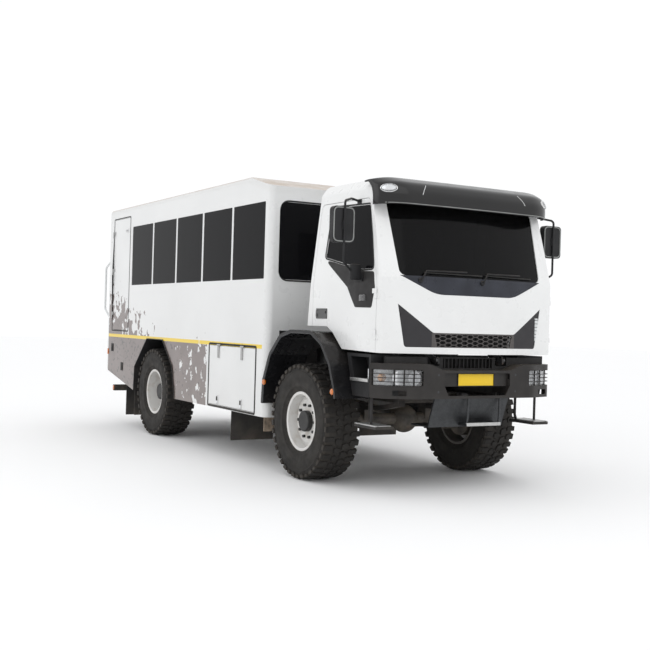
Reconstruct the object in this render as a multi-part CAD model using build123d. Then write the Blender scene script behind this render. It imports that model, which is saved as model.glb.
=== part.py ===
from build123d import *
import math
import os

os.makedirs("parts", exist_ok=True)

# High-clearance four-wheel-drive overland bus: a tilt-cab truck chassis with a passenger body.
# Lengths are millimetres. X runs forward, Y to the vehicle's left and Z up from the ground.
# Stations along X are counted from the front axle, and save() moves them to the middle.

# Driving sizes of the whole vehicle
WHEELBASE = 4150
TRACK = 1980
TYRE_R = 590
TYRE_W = 395
CAB_HALF = 1050
BODY_HALF = 1200
BODY_FRONT = -735
BODY_REAR = -WHEELBASE - 1903
BUMPER_FRONT = 1400
RAIL_REACH = 345
CLEAR = 5
FIT = 0.3
PIN_FIT = 0.1

# Chassis frame
RAIL_HALF = 430
RAIL_TOP = 1130
RAIL_H = 220
RAIL_FLANGE = 75
RAIL_T = 8
RAIL_FRONT = 1150
RAIL_REAR = BODY_REAR + 100
CROSS_W = 90
CROSS_H = 110

# Axles, knuckles and springs
KINGPIN_Y = 800
KINGPIN_R = 22
YOKE_R = 62
YOKE_GAP = 95
YOKE_T = 26
BEAM_R = 62
DIFF_R = 150
DIFF_Y = 120
STUB_R = 60
DRUM_R = 200
FRONT_DRUM = (870, 1000)
REAR_DRUM = (806, 936)
STEER_ARM = 220
ROD_DROP = 85
ROD_R = 18
SPRING_Y = 392
SPRING_W = 76
SPRING_T = 48
SPRING_HALF = 660
SPRING_SEAT = 110
SPRING_RISE = 130

# Wheels
RIM_R = 302
RIM_HALF = 150
RIM_T = 12
BEAD_R = 284
DISC_T = 16
FRONT_DISC = 76
REAR_DISC = -20
NUT_RING = 335
NUTS = 10
# The nuts of the two sides differ a little, so that each side's ring can be measured apart.
NUT_R = {"right": 15.0, "left": 15.4}
HUB_CAP_R = 108
TREAD_HALF = 176

# Driveline
ENGINE_X = (-430, 480)
ENGINE_Z = (800, 1420)
ENGINE_HALF = 300
GEARBOX_REAR = -1150
TRANSFER_X = (-2080, -1760)
SHAFT_R = 42
TANK_R = 230

# Passenger body
WALL = 36
FLOOR_Z = 1312
FLOOR_T = 38
BODY_LOW = 557
TAIL_LOW = 789
TAIL_X = -WHEELBASE - 713
TAIL_SLOPE = (TAIL_LOW - BODY_LOW) / (TAIL_X - BODY_REAR)
ROOF_Z = 3215
SLOPE_X = -1293
FRONT_TOP = 3070
ROOF_SLOPE = (ROOF_Z - FRONT_TOP) / (BODY_FRONT - SLOPE_X)
ROOF_ROUND = 62
CORNER_ROUND = 80
SEAM_DROP = 75
CORNER_DEPTH = 90
LOCKER_IN = 600
BOX_T = 20
CHASSIS_GAP = 560
GLASS_T = 8
WINDOW_Z = (2059, 2901)
WINDOW_POST = 42
WINDOW_COUNT = 5
WINDOW_REAR = BODY_REAR + 972
WINDOW_PITCH = (BODY_FRONT - 71 - WINDOW_REAR) / WINDOW_COUNT
DOOR_X = (BODY_REAR + 188, BODY_REAR + 881)
DOOR_Z = (1402, 3049)
LOCKER_X = (BODY_FRONT - 1479, BODY_FRONT - 244)
LOCKER_Z = (590, 1296)
TANK_X = (-WHEELBASE + 1030, LOCKER_X[0] - 206)
FRONT_WINDOW = ((300, 1072), (2058, 2901))
REAR_WINDOW = (620, (2100, 2800))
ARCH_LIP = 12
ARCH_T = 10
SEAT_ROWS = 6
SEAT_REAR = DOOR_X[1] + 130
SEAT_PITCH = (BODY_FRONT + 133 - SEAT_REAR) / SEAT_ROWS
SEAT_W = 900

# Hinges of the doors: the axis stands HINGE_OUT outside the wall
HINGE_R = 11
HINGE_PIN = 5
HINGE_OUT = 12
HINGE_LEN = 90
DOOR_AXIS = (DOOR_X[0] - 4, BODY_HALF + HINGE_OUT)
DOOR_HINGES = (DOOR_Z[0] + 180, (DOOR_Z[0] + DOOR_Z[1]) / 2, DOOR_Z[1] - 270)
LOCKER_AXIS = (BODY_HALF + HINGE_OUT, LOCKER_Z[1] + 4)
LOCKER_HINGES = (LOCKER_X[0] + 289, LOCKER_X[1] - 309)
LATCH_R = 24
LATCH_OUT = 7
LATCH_UP = 52

# Cab
CAB_T = 45
CAB_REAR = -93
CAB_LOW = 1330
CAB_ARCH = 1565
CAB_ROOF = 2990
BELT = 2040
FACE_X = 1350
FACE_BOW = 111
FACE_CORNER = 50
RAKE = 0.30
SHOULDER = 2000
EAVES_DROP = 100
EAVES = CAB_ROOF - EAVES_DROP
TUMBLE = 50
PANE_IN = 10
PANE_T = 8
CAB_PIVOT = (1255, 1275)
PIVOT_Y = 400
PIVOT_R = 15
EAR_R = 34
EAR_T = 20
DOOR_FRONT = 1196
DOOR_BACK = 4
DOOR_TOP = 2795
PANEL_SKIN = 22
PANEL_REAR = DOOR_FRONT + 4
TRIM_IN = 6
CAB_AXIS = (DOOR_FRONT - 2, CAB_HALF + HINGE_OUT)
CAB_HINGES = (1460, 1840)
HANDLE_X = (77, 300)
HANDLE_Z = (1640, 1742)

# Openings and panels of the cab's front, seen from the front, and of its door's window
WINDOW_POINTS = [(216, 2255, 20), (294, 2745, 40), (985, 2725, 40), (1120, 2120, 30), (930, 2118, 60)]
SCREEN_POINTS = [(-850, 2062, 60), (850, 2062, 60), (888, 2765, 40), (-888, 2765, 40)]
BOW_POINTS = [(-853, 2062), (-470, 1893, 420), (470, 1893, 420), (853, 2062)]
PANEL_POINTS = [(853, 2062), (872, 1797), (800, 1400), (700, 1200), (-700, 1200), (-800, 1400), (-872, 1797),
                (-853, 2062)]
GRILLE_TOP = 1534
GRILLE_LOW = 1396
GRILLE_POINTS = [(866, 1797), (490, GRILLE_TOP, 60), (-490, GRILLE_TOP, 60), (-866, 1797),
                 (-792, GRILLE_LOW, 30), (792, GRILLE_LOW, 30)]
MESH_Z = (GRILLE_LOW + 8, GRILLE_TOP - 14)
MESH_POINTS = [(470, MESH_Z[1]), (-470, MESH_Z[1]), (-440, MESH_Z[0]), (440, MESH_Z[0])]
COMB_PITCH = 63
COMB_ROW = 40
COMB_BAR = 8
COMB_SIDE = 7
COLUMN_LAMP = ((798, 838), (1478, 1702))
CAB_WINDOW = ((-430, 430), (2150, 2650))

# Mirrors
MIRROR_X = 940
MIRROR_Y = (1168, 1408)
MIRROR_Z = (2350, 2688)

# Lower front
BUMPER_Z = (917, 1242)
BUMPER_DIP = 1183
BUMPER_DEPTH = 165
BUMPER_END = 1133
BUMPER_HALF = 1062
BUMPER_T = 14
BRACKET_Y = 465
BRACKET_HOLES = (982, 1142)
BRACKET_R = 11
LAMP_INNER = 640
LAMP_Z = (1036, 1184)
GUARD_Z = (1074, 1110, 1146)
GUARD_Y = (730, 820, 910)
GUARD_BAR = 3
VISOR_LAMP = (855, 2862, 30)
FLARE_OUT = 1240
FLARE_IN = 780
FLARE_T = 12
FLARE_LIP = 30
BEAM_Z = (480, 570)

FRONT_WHEEL = (0, TYRE_R)
REAR_WHEEL = (-WHEELBASE, TYRE_R)
WHEEL_Y = TRACK / 2
MIDDLE = (BUMPER_FRONT + BODY_REAR - RAIL_REACH) / 2


def outline(points, place):
    """A closed face through points (a, b) or (a, b, corner radius), placed by place(a, b)."""
    corners = [place(point[0], point[1]) for point in points]
    radii = [point[2] if len(point) > 2 else 0 for point in points]
    return make_face(FilletPolyline(*corners, radius=radii, close=True))


def side_plate(points, y_low, y_high):
    """A side outline (x, z) made solid from y_low to y_high."""
    face = outline(points, lambda x, z: (x, y_low, z))
    return extrude(face, amount=y_high - y_low, dir=(0, 1, 0))


def front_plate(points, x_low, x_high):
    """A front outline (y, z) made solid from x_low to x_high."""
    face = outline(points, lambda y, z: (x_low, y, z))
    return extrude(face, amount=x_high - x_low, dir=(1, 0, 0))


def plan_plate(points, z_low, z_high):
    """A plan outline (x, y) made solid from z_low to z_high."""
    face = outline(points, lambda x, y: (x, y, z_low))
    return extrude(face, amount=z_high - z_low, dir=(0, 0, 1))


def block(x, y, z):
    """A box between the two ends given for each axis."""
    size = (x[1] - x[0], y[1] - y[0], z[1] - z[0])
    return Pos(x[0], y[0], z[0]) * Box(*size, align=(Align.MIN, Align.MIN, Align.MIN))


def rod(start, end, radius):
    """A round bar from start to end."""
    line = Vector(*end) - Vector(*start)
    plane = Plane(origin=start, z_dir=line)
    return extrude(plane * Circle(radius), amount=line.length)


def tube(points, radius, bend):
    """A round bar bent along points."""
    path = FilletPolyline(*points, radius=bend)
    return sweep(Plane(origin=path @ 0, z_dir=path % 0) * Circle(radius), path=path)


def about_y(points, y, centre):
    """A solid of revolution about the wheel axis: points are (radius, offset in y)."""
    corners = [(point[0], point[1]) for point in points]
    radii = [point[2] if len(point) > 2 else 0 for point in points]
    profile = make_face(FilletPolyline(*corners, radius=radii, close=True))
    turned = revolve(profile, axis=Axis.Y)
    return Pos(centre[0], y, centre[1]) * turned


def mirrored(shape):
    """The same piece on the other side of the vehicle."""
    return mirror(shape, about=Plane.XZ)


def both(shape):
    """A piece for the left side and its mirror image."""
    return [shape, mirrored(shape)]


def solids_of(shapes):
    """All solids in a list of shapes."""
    return [solid for shape in shapes for solid in shape.solids()]


def save(node, *shapes):
    """Write one node, moved so that the vehicle's middle is at X = 0."""
    placed = [Pos(-MIDDLE, 0, 0) * solid for solid in solids_of(shapes)]
    export_step(Compound(children=placed), f"parts/{node}.step")


# Chassis

def rail():
    """The left side rail, a channel that opens inwards."""
    low = RAIL_TOP - RAIL_H
    outer = block((RAIL_REAR, RAIL_FRONT), (RAIL_HALF - RAIL_FLANGE, RAIL_HALF), (low, RAIL_TOP))
    hollow = block((RAIL_REAR, RAIL_FRONT), (RAIL_HALF - RAIL_FLANGE, RAIL_HALF - RAIL_T),
                   (low + RAIL_T, RAIL_TOP - RAIL_T))
    return outer - hollow


def crossmember(x):
    """A box tube between the two rail webs."""
    top = RAIL_TOP - RAIL_T
    half = RAIL_HALF - RAIL_T
    return block((x - CROSS_W / 2, x + CROSS_W / 2), (-half, half), (top - CROSS_H, top))


def spring_hanger(wheel, side_x):
    """The bracket under a rail that a spring end seats against."""
    x = wheel[0] + side_x * SPRING_HALF
    low = wheel[1] + SPRING_SEAT + SPRING_RISE
    y = (SPRING_Y - SPRING_W / 2, SPRING_Y + SPRING_W / 2)
    return block((x - 45, x + 45), y, (low, RAIL_TOP - RAIL_H))


def cab_bracket():
    """The frame's front bracket with the pin that the cab tilts on."""
    x, z = CAB_PIVOT
    points = [(RAIL_FRONT - 190, RAIL_TOP), (RAIL_FRONT - 10, RAIL_TOP), (x - 90, z - 42),
              (x + EAR_R, z - 42, 16), (x + EAR_R, z + EAR_R - 6, 16), (x - EAR_R, z + EAR_R - 6, 16)]
    plate = side_plate(points, PIVOT_Y - EAR_T, PIVOT_Y)
    pin = rod((x, PIVOT_Y - EAR_T, z), (x, PIVOT_Y + EAR_T + 6, z), PIVOT_R)
    return plate + pin


def cab_rest():
    """The post that carries the back of the cab."""
    x = CAB_REAR + 70
    return block((x - 40, x + 40), (RAIL_HALF - RAIL_FLANGE, RAIL_HALF), (RAIL_TOP, CAB_ARCH - FIT))


def chassis_frame():
    """Both rails, their crossmembers, hangers, cab brackets and cab rests in one welded piece."""
    frame = rail() + cab_bracket() + cab_rest()
    for wheel in (FRONT_WHEEL, REAR_WHEEL):
        frame += spring_hanger(wheel, 1) + spring_hanger(wheel, -1)
    frame += mirrored(frame)
    axle = REAR_WHEEL[0]
    stations = [RAIL_FRONT - 60, BODY_FRONT - 715, axle + 1650, axle + 850, axle - 800, RAIL_REAR + 60]
    for x in stations:
        frame += crossmember(x)
    return frame


def driveline():
    """Engine, gearbox and transfer case as plain blocks, with the shafts between them."""
    x0, x1 = ENGINE_X
    web = RAIL_HALF - RAIL_T
    engine = block((x0, x1), (-ENGINE_HALF, ENGINE_HALF), ENGINE_Z)
    gearbox = block((GEARBOX_REAR, x0), (-190, 190), (860, 1210))
    mounts = block((-40, 40), (-web, web), (980, 1030)) + block((-900, -840), (-web, web), (980, 1030))
    t0, t1 = TRANSFER_X
    transfer = block((t0, t1), (-110, DIFF_Y + 90), (640, 1010))
    hanger = block((t0 + 120, t0 + 200), (-web, web), (960, 1000))
    link = rod((GEARBOX_REAR, 0, 940), (t1, 0, 900), SHAFT_R)
    nose_front = (-DIFF_R - 80, DIFF_Y, TYRE_R + 40)
    nose_rear = (-WHEELBASE + DIFF_R + 80, 0, TYRE_R + 40)
    front_shaft = rod(nose_front, (t1, DIFF_Y, 730), SHAFT_R)
    rear_shaft = rod(nose_rear, (t0, 0, 730), SHAFT_R)
    ends = block((-DIFF_R - 90 - FIT, 0), (DIFF_Y - 90, DIFF_Y + 90), (500, 760))
    ends += block((-WHEELBASE, -WHEELBASE + DIFF_R + 90 + FIT), (-90, 90), (500, 760))
    shafts = (front_shaft + rear_shaft) - ends
    return engine + gearbox + mounts + transfer + hanger + link + shafts


def axle_beam(wheel, half, diff_y, nose):
    """Axle tube, differential and the flange that its shaft bolts to."""
    x, z = wheel
    beam = rod((x, -half, z), (x, half, z), BEAM_R)
    housing = Pos(x, diff_y, z) * Sphere(DIFF_R)
    neck = rod((x, diff_y, z), (x + nose * (DIFF_R + 90), diff_y, z + 40), 60)
    flat = block((x + nose * (DIFF_R + 90) - 90, x + nose * (DIFF_R + 90) + 90),
                 (diff_y - 150, diff_y + 150), (z - 150, z + 200))
    if nose < 0:
        flat = Pos(-90, 0, 0) * flat
    else:
        flat = Pos(90, 0, 0) * flat
    beam = beam + housing + (neck - flat)
    seat = block((x - 75, x + 75), (SPRING_Y - SPRING_W / 2, SPRING_Y + SPRING_W / 2),
                 (z, z + SPRING_SEAT))
    return beam + seat + mirrored(seat)


def yoke():
    """The left end of the front axle, which holds the kingpin above and below."""
    x, z = FRONT_WHEEL
    arms = Part()
    for z0 in (z + YOKE_GAP, z - YOKE_GAP - YOKE_T):
        plate = Pos(x, KINGPIN_Y, z0) * extrude(Circle(YOKE_R), amount=YOKE_T)
        tongue = block((x - 50, x + 50), (KINGPIN_Y - 130, KINGPIN_Y), (z0, z0 + YOKE_T))
        arms += plate + tongue
    web = block((x - 50, x + 50), (KINGPIN_Y - 130, KINGPIN_Y - 85),
                (z - YOKE_GAP - YOKE_T, z + YOKE_GAP + YOKE_T))
    bore = Pos(x, KINGPIN_Y, z - 200) * extrude(Circle(KINGPIN_R + PIN_FIT), amount=400)
    return arms + web - bore


def front_axle():
    """Driven steering axle."""
    beam = axle_beam(FRONT_WHEEL, KINGPIN_Y - 100, DIFF_Y, -1)
    return beam + yoke() + mirrored(yoke())


def rear_axle():
    """Driven rear axle with its brake drums and the stubs that the wheels turn on."""
    x, z = REAR_WHEEL
    beam = axle_beam(REAR_WHEEL, REAR_DRUM[0], 0, 1)
    drum = rod((x, REAR_DRUM[0], z), (x, REAR_DRUM[1], z), DRUM_R)
    stub = rod((x, REAR_DRUM[1], z), (x, WHEEL_Y + REAR_DISC + 40, z), STUB_R)
    end = drum + stub
    return beam + end + mirrored(end)


def knuckle():
    """Left steering knuckle: kingpin, brake drum, stub and the arm to the tie rod."""
    x, z = FRONT_WHEEL
    core = Pos(x, KINGPIN_Y, z - YOKE_GAP + FIT) * extrude(Circle(72), amount=2 * (YOKE_GAP - FIT))
    pin_low = z - YOKE_GAP - YOKE_T
    pin = Pos(x, KINGPIN_Y, pin_low) * extrude(Circle(KINGPIN_R), amount=2 * (YOKE_GAP + YOKE_T))
    drum = rod((x, FRONT_DRUM[0], z), (x, FRONT_DRUM[1], z), DRUM_R)
    stub = rod((x, KINGPIN_Y, z), (x, WHEEL_Y + FRONT_DISC + 30, z), STUB_R)
    eye = (x - STEER_ARM, KINGPIN_Y, z - ROD_DROP)
    arm = block((x - STEER_ARM, x), (KINGPIN_Y - 18, KINGPIN_Y + 18), (z - ROD_DROP - 4, z - 48))
    boss = Pos(eye[0], eye[1], eye[2] + 4) * extrude(Circle(26), amount=24)
    pivot = Pos(eye[0], eye[1], eye[2] - 30) * extrude(Circle(10), amount=40)
    clear = Pos(eye[0], eye[1], eye[2] - 40) * extrude(Circle(34), amount=40 + 4)
    return core + pin + drum + stub + ((arm - clear) + boss) + pivot


def tie_rod():
    """The rod behind the front axle that makes both knuckles steer together."""
    x = FRONT_WHEEL[0] - STEER_ARM
    z = FRONT_WHEEL[1] - ROD_DROP
    half = KINGPIN_Y
    end = Pos(x, half, z - 22) * extrude(Circle(24), amount=22 + 4 - FIT)
    bore = Pos(x, half, z - 60) * extrude(Circle(10 + PIN_FIT), amount=100)
    bar = rod((x, -half + 20, z - 15), (x, half - 20, z - 15), ROD_R)
    return (bar + end + mirrored(end)) - bore - mirrored(bore)


def leaf_spring(wheel):
    """A bent leaf pack with flat seats at its middle and ends."""
    x, z = wheel
    low = z + SPRING_SEAT
    top = low + SPRING_RISE
    a = SPRING_HALF
    under = ThreePointArc((x - a, 0, top - SPRING_T), (x, 0, low), (x + a, 0, top - SPRING_T))
    over = ThreePointArc((x + a, 0, top), (x, 0, low + SPRING_T), (x - a, 0, top))
    edges = [under, Line(under @ 1, over @ 0), over, Line(over @ 1, under @ 0)]
    pack = extrude(make_face(edges), amount=SPRING_W, dir=(0, 1, 0))
    pack = Pos(0, SPRING_Y - SPRING_W / 2, 0) * pack
    y = (SPRING_Y - SPRING_W / 2, SPRING_Y + SPRING_W / 2)
    clamp = block((x - 75, x + 75), y, (low, low + SPRING_T + 26))
    shoes = block((x - a - 45, x - a + 45), y, (top - SPRING_T, top))
    shoes += block((x + a - 45, x + a + 45), y, (top - SPRING_T, top))
    return pack + clamp + shoes


def fuel_tank():
    """Round tank on the left of the frame behind the locker, with its two brackets."""
    x0, x1 = TANK_X
    y = RAIL_HALF + TANK_R + 40
    z = RAIL_TOP - RAIL_H
    tank = rod((x0, y, z), (x1, y, z), TANK_R)
    arms = Part()
    for x in (x0 + 120, x1 - 160):
        arms += block((x, x + 40), (RAIL_HALF, y), (z - TANK_R - 12, z - TANK_R + 30))
        arms += block((x, x + 40), (RAIL_HALF, RAIL_HALF + 14), (z - TANK_R - 12, z + 180))
    return tank + arms


# Wheels

def tyre(wheel):
    """Left tyre: a hollow casing out to the tips of its tread."""
    half = TYRE_W / 2
    crown = TYRE_R
    seat = BEAD_R + FIT
    outer = [(seat, RIM_HALF - FIT), (RIM_R + FIT, RIM_HALF - FIT), (RIM_R + 6, RIM_HALF + 14),
             (RIM_R + 70, half - 6, 60), (460, half, 60), (crown - 50, half - 8, 30),
             (crown - 6, TREAD_HALF, 10), (crown, TREAD_HALF - 30, 20)]
    inner = [(seat, RIM_HALF - 44), (RIM_R + 90, half - 34, 50), (crown - 90, half - 40, 40),
             (crown - 46, TREAD_HALF - 40, 40)]
    outer += [(r, -y, *rest) for r, y, *rest in reversed(outer)]
    inner = [(r, -y, *rest) for r, y, *rest in inner] + list(reversed(inner))
    return about_y(outer + inner, WHEEL_Y, wheel)


def rim(wheel, disc, hub_out, hub_in, nut_r):
    """Left steel wheel: barrel, disc, nuts of the given radius, and the hub."""
    r = RIM_R
    h = RIM_HALF
    bore = BEAD_R - RIM_T
    barrel_points = [(BEAD_R, -h), (BEAD_R, h), (r, h), (r, h + 10), (bore, h + 10, 8),
                     (bore, -h - 10, 8), (r, -h - 10), (r, -h)]
    y = WHEEL_Y
    barrel = about_y(barrel_points, y, wheel)
    disc_points = [(STUB_R + PIN_FIT, disc - DISC_T), (215, disc - DISC_T), (bore + 4, disc - DISC_T - 26),
                   (bore + 4, disc - 26), (215, disc), (HUB_CAP_R, disc),
                   (HUB_CAP_R, hub_out, 14), (0, hub_out), (0, hub_in), (STUB_R + PIN_FIT, hub_in)]
    wheel_disc = about_y(disc_points, y, wheel)
    nuts = Part()
    for i in range(NUTS):
        angle = 2 * math.pi * i / NUTS
        x = wheel[0] + NUT_RING / 2 * math.cos(angle)
        z = wheel[1] + NUT_RING / 2 * math.sin(angle)
        nuts += rod((x, y + disc - 1, z), (x, y + disc + 26, z), nut_r)
    return barrel + wheel_disc + nuts


# Passenger body

def body_side_points(inset):
    """Side outline of the body, or of the space inside its walls, which is open below."""
    front = BODY_FRONT - inset
    rear = BODY_REAR + inset
    top = ROOF_Z - inset
    points = [(front, FRONT_TOP - inset + ROOF_SLOPE * inset), (SLOPE_X, top), (rear, top)]
    if inset > 0:
        return points + [(rear, 0), (front, 0)]
    return points + [(rear, TAIL_LOW), (TAIL_X, BODY_LOW), (front, BODY_LOW)]


def body_form(inset):
    """The body's closed outer form, or the space inside its walls."""
    half = BODY_HALF - inset
    form = side_plate(body_side_points(inset), -half - 10, half + 10)
    front = BODY_FRONT - inset
    corner = CORNER_ROUND - inset
    plan = [(front, -half, corner), (front, half, corner), (BODY_REAR - 10, half), (BODY_REAR - 10, -half)]
    top = ROOF_Z - inset
    edge = ROOF_ROUND - inset
    section = [(-half, -10), (-half, top, edge), (half, top, edge), (half, -10)]
    return form & plan_plate(plan, -10, ROOF_Z + 100) & front_plate(section, BODY_REAR - 10, BODY_FRONT + 10)


def roof_zone():
    """Everything above the seam between the roof and the walls."""
    points = [(x, z - SEAM_DROP) for x, z in
              ((BODY_REAR - 50, ROOF_Z), (SLOPE_X, ROOF_Z))]
    points += [(BODY_FRONT + 50, FRONT_TOP - ROOF_SLOPE * 50 - SEAM_DROP), (BODY_FRONT + 50, ROOF_Z + 200),
               (BODY_REAR - 50, ROOF_Z + 200)]
    return side_plate(points, -BODY_HALF - 50, BODY_HALF + 50)


def arch_points(inset):
    """Wheel-arch outline around the rear wheel, moved inwards by inset."""
    x = -WHEELBASE
    low = BODY_LOW - 60
    return [(x + 850 - inset, low), (x + 846 - inset, 640), (x + 752 - inset, 975),
            (x + 392 - inset * 0.4, FLOOR_Z - inset), (x - 200 + inset * 0.4, FLOOR_Z - inset),
            (x - 672 + inset, 900), (x - 692 + inset, 640), (x - 692 + inset, low)]


def window_spans():
    """Front and rear edge of each side window."""
    first = WINDOW_REAR + WINDOW_POST / 2
    return [(first + i * WINDOW_PITCH, first + (i + 1) * WINDOW_PITCH - WINDOW_POST)
            for i in range(WINDOW_COUNT)]


def rectangle(a, b, corner=0):
    """Outline points of a rectangle from its two spans."""
    return [(a[0], b[0], corner), (a[1], b[0], corner), (a[1], b[1], corner), (a[0], b[1], corner)]


def grown(span, amount):
    """A span made longer at both ends."""
    return (span[0] - amount, span[1] + amount)


def body_shell():
    """The walls and roof before they are split at their seams."""
    shell = body_form(0) - BODY_SPACE
    belly = block((BODY_REAR - 50, BODY_FRONT + 50), (-CHASSIS_GAP, CHASSIS_GAP), (0, FLOOR_Z))
    return shell - belly - block((BODY_REAR - 50, BODY_FRONT + 50), (-LOCKER_IN, LOCKER_IN), (0, 1150))


def body_side():
    """Left side wall with its windows, door opening, locker opening and wheel arch."""
    ends = block((BODY_REAR + WALL, BODY_FRONT - CORNER_DEPTH), (BODY_HALF - WALL, BODY_HALF), (0, ROOF_Z))
    wall = (SHELL & ends) - ROOF_ZONE
    y = (BODY_HALF - WALL - 20, BODY_HALF + 20)
    for span in window_spans():
        wall -= side_plate(rectangle(span, WINDOW_Z, 12), *y)
    wall -= side_plate(rectangle(DOOR_X, DOOR_Z, 8), *y)
    wall -= side_plate(rectangle(LOCKER_X, LOCKER_Z, 8), *y)
    wall -= side_plate(arch_points(0), *y)
    return wall + door_hinge_pins() + locker_hinge_pins()


def body_front_wall():
    """Front wall with rounded corners and a window on each side."""
    zone = block((BODY_FRONT - CORNER_DEPTH, BODY_FRONT + 10), (-BODY_HALF - 10, BODY_HALF + 10), (0, ROOF_Z))
    wall = (SHELL & zone) - ROOF_ZONE
    y, z = FRONT_WINDOW
    hole = front_plate(rectangle(y, z, 90), BODY_FRONT - WALL - 20, BODY_FRONT + 20)
    return wall - hole - mirrored(hole)


def body_rear_wall():
    """Rear wall with an escape window in the middle."""
    zone = block((BODY_REAR - 10, BODY_REAR + WALL), (-BODY_HALF - 10, BODY_HALF + 10), (0, ROOF_Z))
    wall = (SHELL & zone) - ROOF_ZONE
    half, z = REAR_WINDOW
    return wall - front_plate(rectangle((-half, half), z, 60), BODY_REAR - 20, BODY_REAR + WALL + 20)


def body_glass():
    """All the fixed panes of the passenger body."""
    panes = []
    y0 = BODY_HALF - GLASS_T - 4
    for span in window_spans():
        points = rectangle(grown(span, -FIT), grown(WINDOW_Z, -FIT), 12)
        panes += both(side_plate(points, y0, y0 + GLASS_T))
    y, z = FRONT_WINDOW
    x0 = BODY_FRONT - GLASS_T - 4
    panes += both(front_plate(rectangle(grown(y, -FIT), grown(z, -FIT), 90), x0, x0 + GLASS_T))
    half, z = REAR_WINDOW
    points = rectangle((-half + FIT, half - FIT), grown(z, -FIT), 60)
    panes.append(front_plate(points, BODY_REAR + 4, BODY_REAR + 4 + GLASS_T))
    return panes


def locker_box():
    """The left locker under the floor, open to the outside through its door."""
    x = (LOCKER_X[0] - 86, BODY_FRONT - WALL)
    y = (LOCKER_IN, BODY_HALF - WALL)
    outer = block(x, y, (BODY_LOW, FLOOR_Z))
    inner = block((x[0] + BOX_T, x[1]), (y[0] + BOX_T, y[1]), (BODY_LOW + BOX_T, FLOOR_Z))
    return outer - inner


def tail_box():
    """The left closed box behind the rear wheel, with its bottom raised towards the tail."""
    x0 = BODY_REAR + WALL
    points = [(x0, TAIL_LOW - WALL * TAIL_SLOPE), (x0, FLOOR_Z), (TAIL_X - 20, FLOOR_Z),
              (TAIL_X - 20, BODY_LOW + 20 * TAIL_SLOPE)]
    box = side_plate(points, LOCKER_IN, BODY_HALF - WALL)
    t = BOX_T
    space = [(x0 - t, points[0][1] + t + t * TAIL_SLOPE), (x0 - t, FLOOR_Z), (TAIL_X - 20 - t, FLOOR_Z),
             (TAIL_X - 20 - t, points[3][1] + t + t * TAIL_SLOPE)]
    return box - side_plate(space, LOCKER_IN + t, BODY_HALF)


def tail_floor(x):
    """Height of the raised bottom of the tail at station x."""
    return BODY_LOW + (TAIL_X - x) * TAIL_SLOPE


def body_floor():
    """Floor platform with its two bearers on the frame."""
    half = BODY_HALF - WALL
    x = (BODY_REAR + WALL, BODY_FRONT - WALL)
    floor = block(x, (-half, half), (FLOOR_Z, FLOOR_Z + FLOOR_T))
    bearer = block((RAIL_REAR, BODY_FRONT - 60), (RAIL_HALF - RAIL_FLANGE, RAIL_HALF), (RAIL_TOP, FLOOR_Z))
    return (floor + bearer + mirrored(bearer)) & BODY_SPACE


def arch_liner():
    """The black liner of the left rear wheel arch, with a lip outside the wall."""
    y = (LOCKER_IN, BODY_HALF + ARCH_LIP)
    band = side_plate(arch_points(0), *y) - side_plate(arch_points(ARCH_T), y[0] - 10, y[1] + 10)
    cut = block((-WHEELBASE - 1500, -WHEELBASE + 1500), (0, 1500), (0, BODY_LOW))
    return band - cut


def seat_pair(x, y):
    """A double seat on one pedestal."""
    floor = FLOOR_Z + FLOOR_T
    leg = block((x + 100, x + 380), (y - 60, y + 60), (floor, floor + 330))
    cushion = side_plate([(x, floor + 330), (x + 470, floor + 330), (x + 480, floor + 450, 40),
                          (x, floor + 440)], y - SEAT_W / 2, y + SEAT_W / 2)
    back = side_plate([(x, floor + 400), (x + 110, floor + 400), (x + 20, floor + 1120, 40),
                       (x - 90, floor + 1110, 40)], y - SEAT_W / 2, y + SEAT_W / 2)
    gap = block((x - 200, x + 20), (y - 12, y + 12), (floor + 520, floor + 1200))
    return leg + cushion + (back - gap)


def passenger_seats():
    """Rows of double seats on both sides of the aisle."""
    seats = []
    for row in range(SEAT_ROWS):
        x = SEAT_REAR + row * SEAT_PITCH
        seats += both(seat_pair(x, BODY_HALF - WALL - SEAT_W / 2 - 15))
    return seats


def handrail():
    """Grab rail that stands out behind the left rear corner."""
    x = BODY_REAR
    y = BODY_HALF - 50
    out = BODY_REAR - RAIL_REACH + 16
    points = [(x, y, 1590), (x - 100, y, 1590), (out, y, 1712), (out, y, 2352), (x - 100, y, 2440),
              (x, y, 2440)]
    return tube(points, 16, 60)


# Doors of the passenger body

def door_hinge_pins():
    """Fixed halves of the rear door's hinges, each a lug with a pin that points up."""
    x, y = DOOR_AXIS
    pins = Part()
    for z in DOOR_HINGES:
        half = HINGE_LEN / 2
        lug = block((x - HINGE_R, x), (BODY_HALF - 4, y), (z, z + half))
        lug += Pos(x, y, z) * extrude(Circle(HINGE_R), amount=half)
        pins += lug + Pos(x, y, z) * extrude(Circle(HINGE_PIN), amount=HINGE_LEN)
    return pins - side_plate(rectangle(DOOR_X, DOOR_Z), BODY_HALF - 100, BODY_HALF)


def door_hinge_leaves():
    """Moving halves of the rear door's hinges."""
    x, y = DOOR_AXIS
    leaves = Part()
    for z in DOOR_HINGES:
        z0 = z + HINGE_LEN / 2 + FIT
        z1 = z + HINGE_LEN
        barrel = Pos(x, y, z0) * extrude(Circle(HINGE_R), amount=z1 - z0)
        strap = block((x, x + 60), (BODY_HALF + 2, y), (z0, z1))
        strap += block((x + 20, x + 60), (BODY_HALF, y), (z0, z1))
        bore = Pos(x, y, z0 - 1) * extrude(Circle(HINGE_PIN + PIN_FIT), amount=HINGE_LEN)
        leaves += barrel + strap - bore
    return leaves


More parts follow.
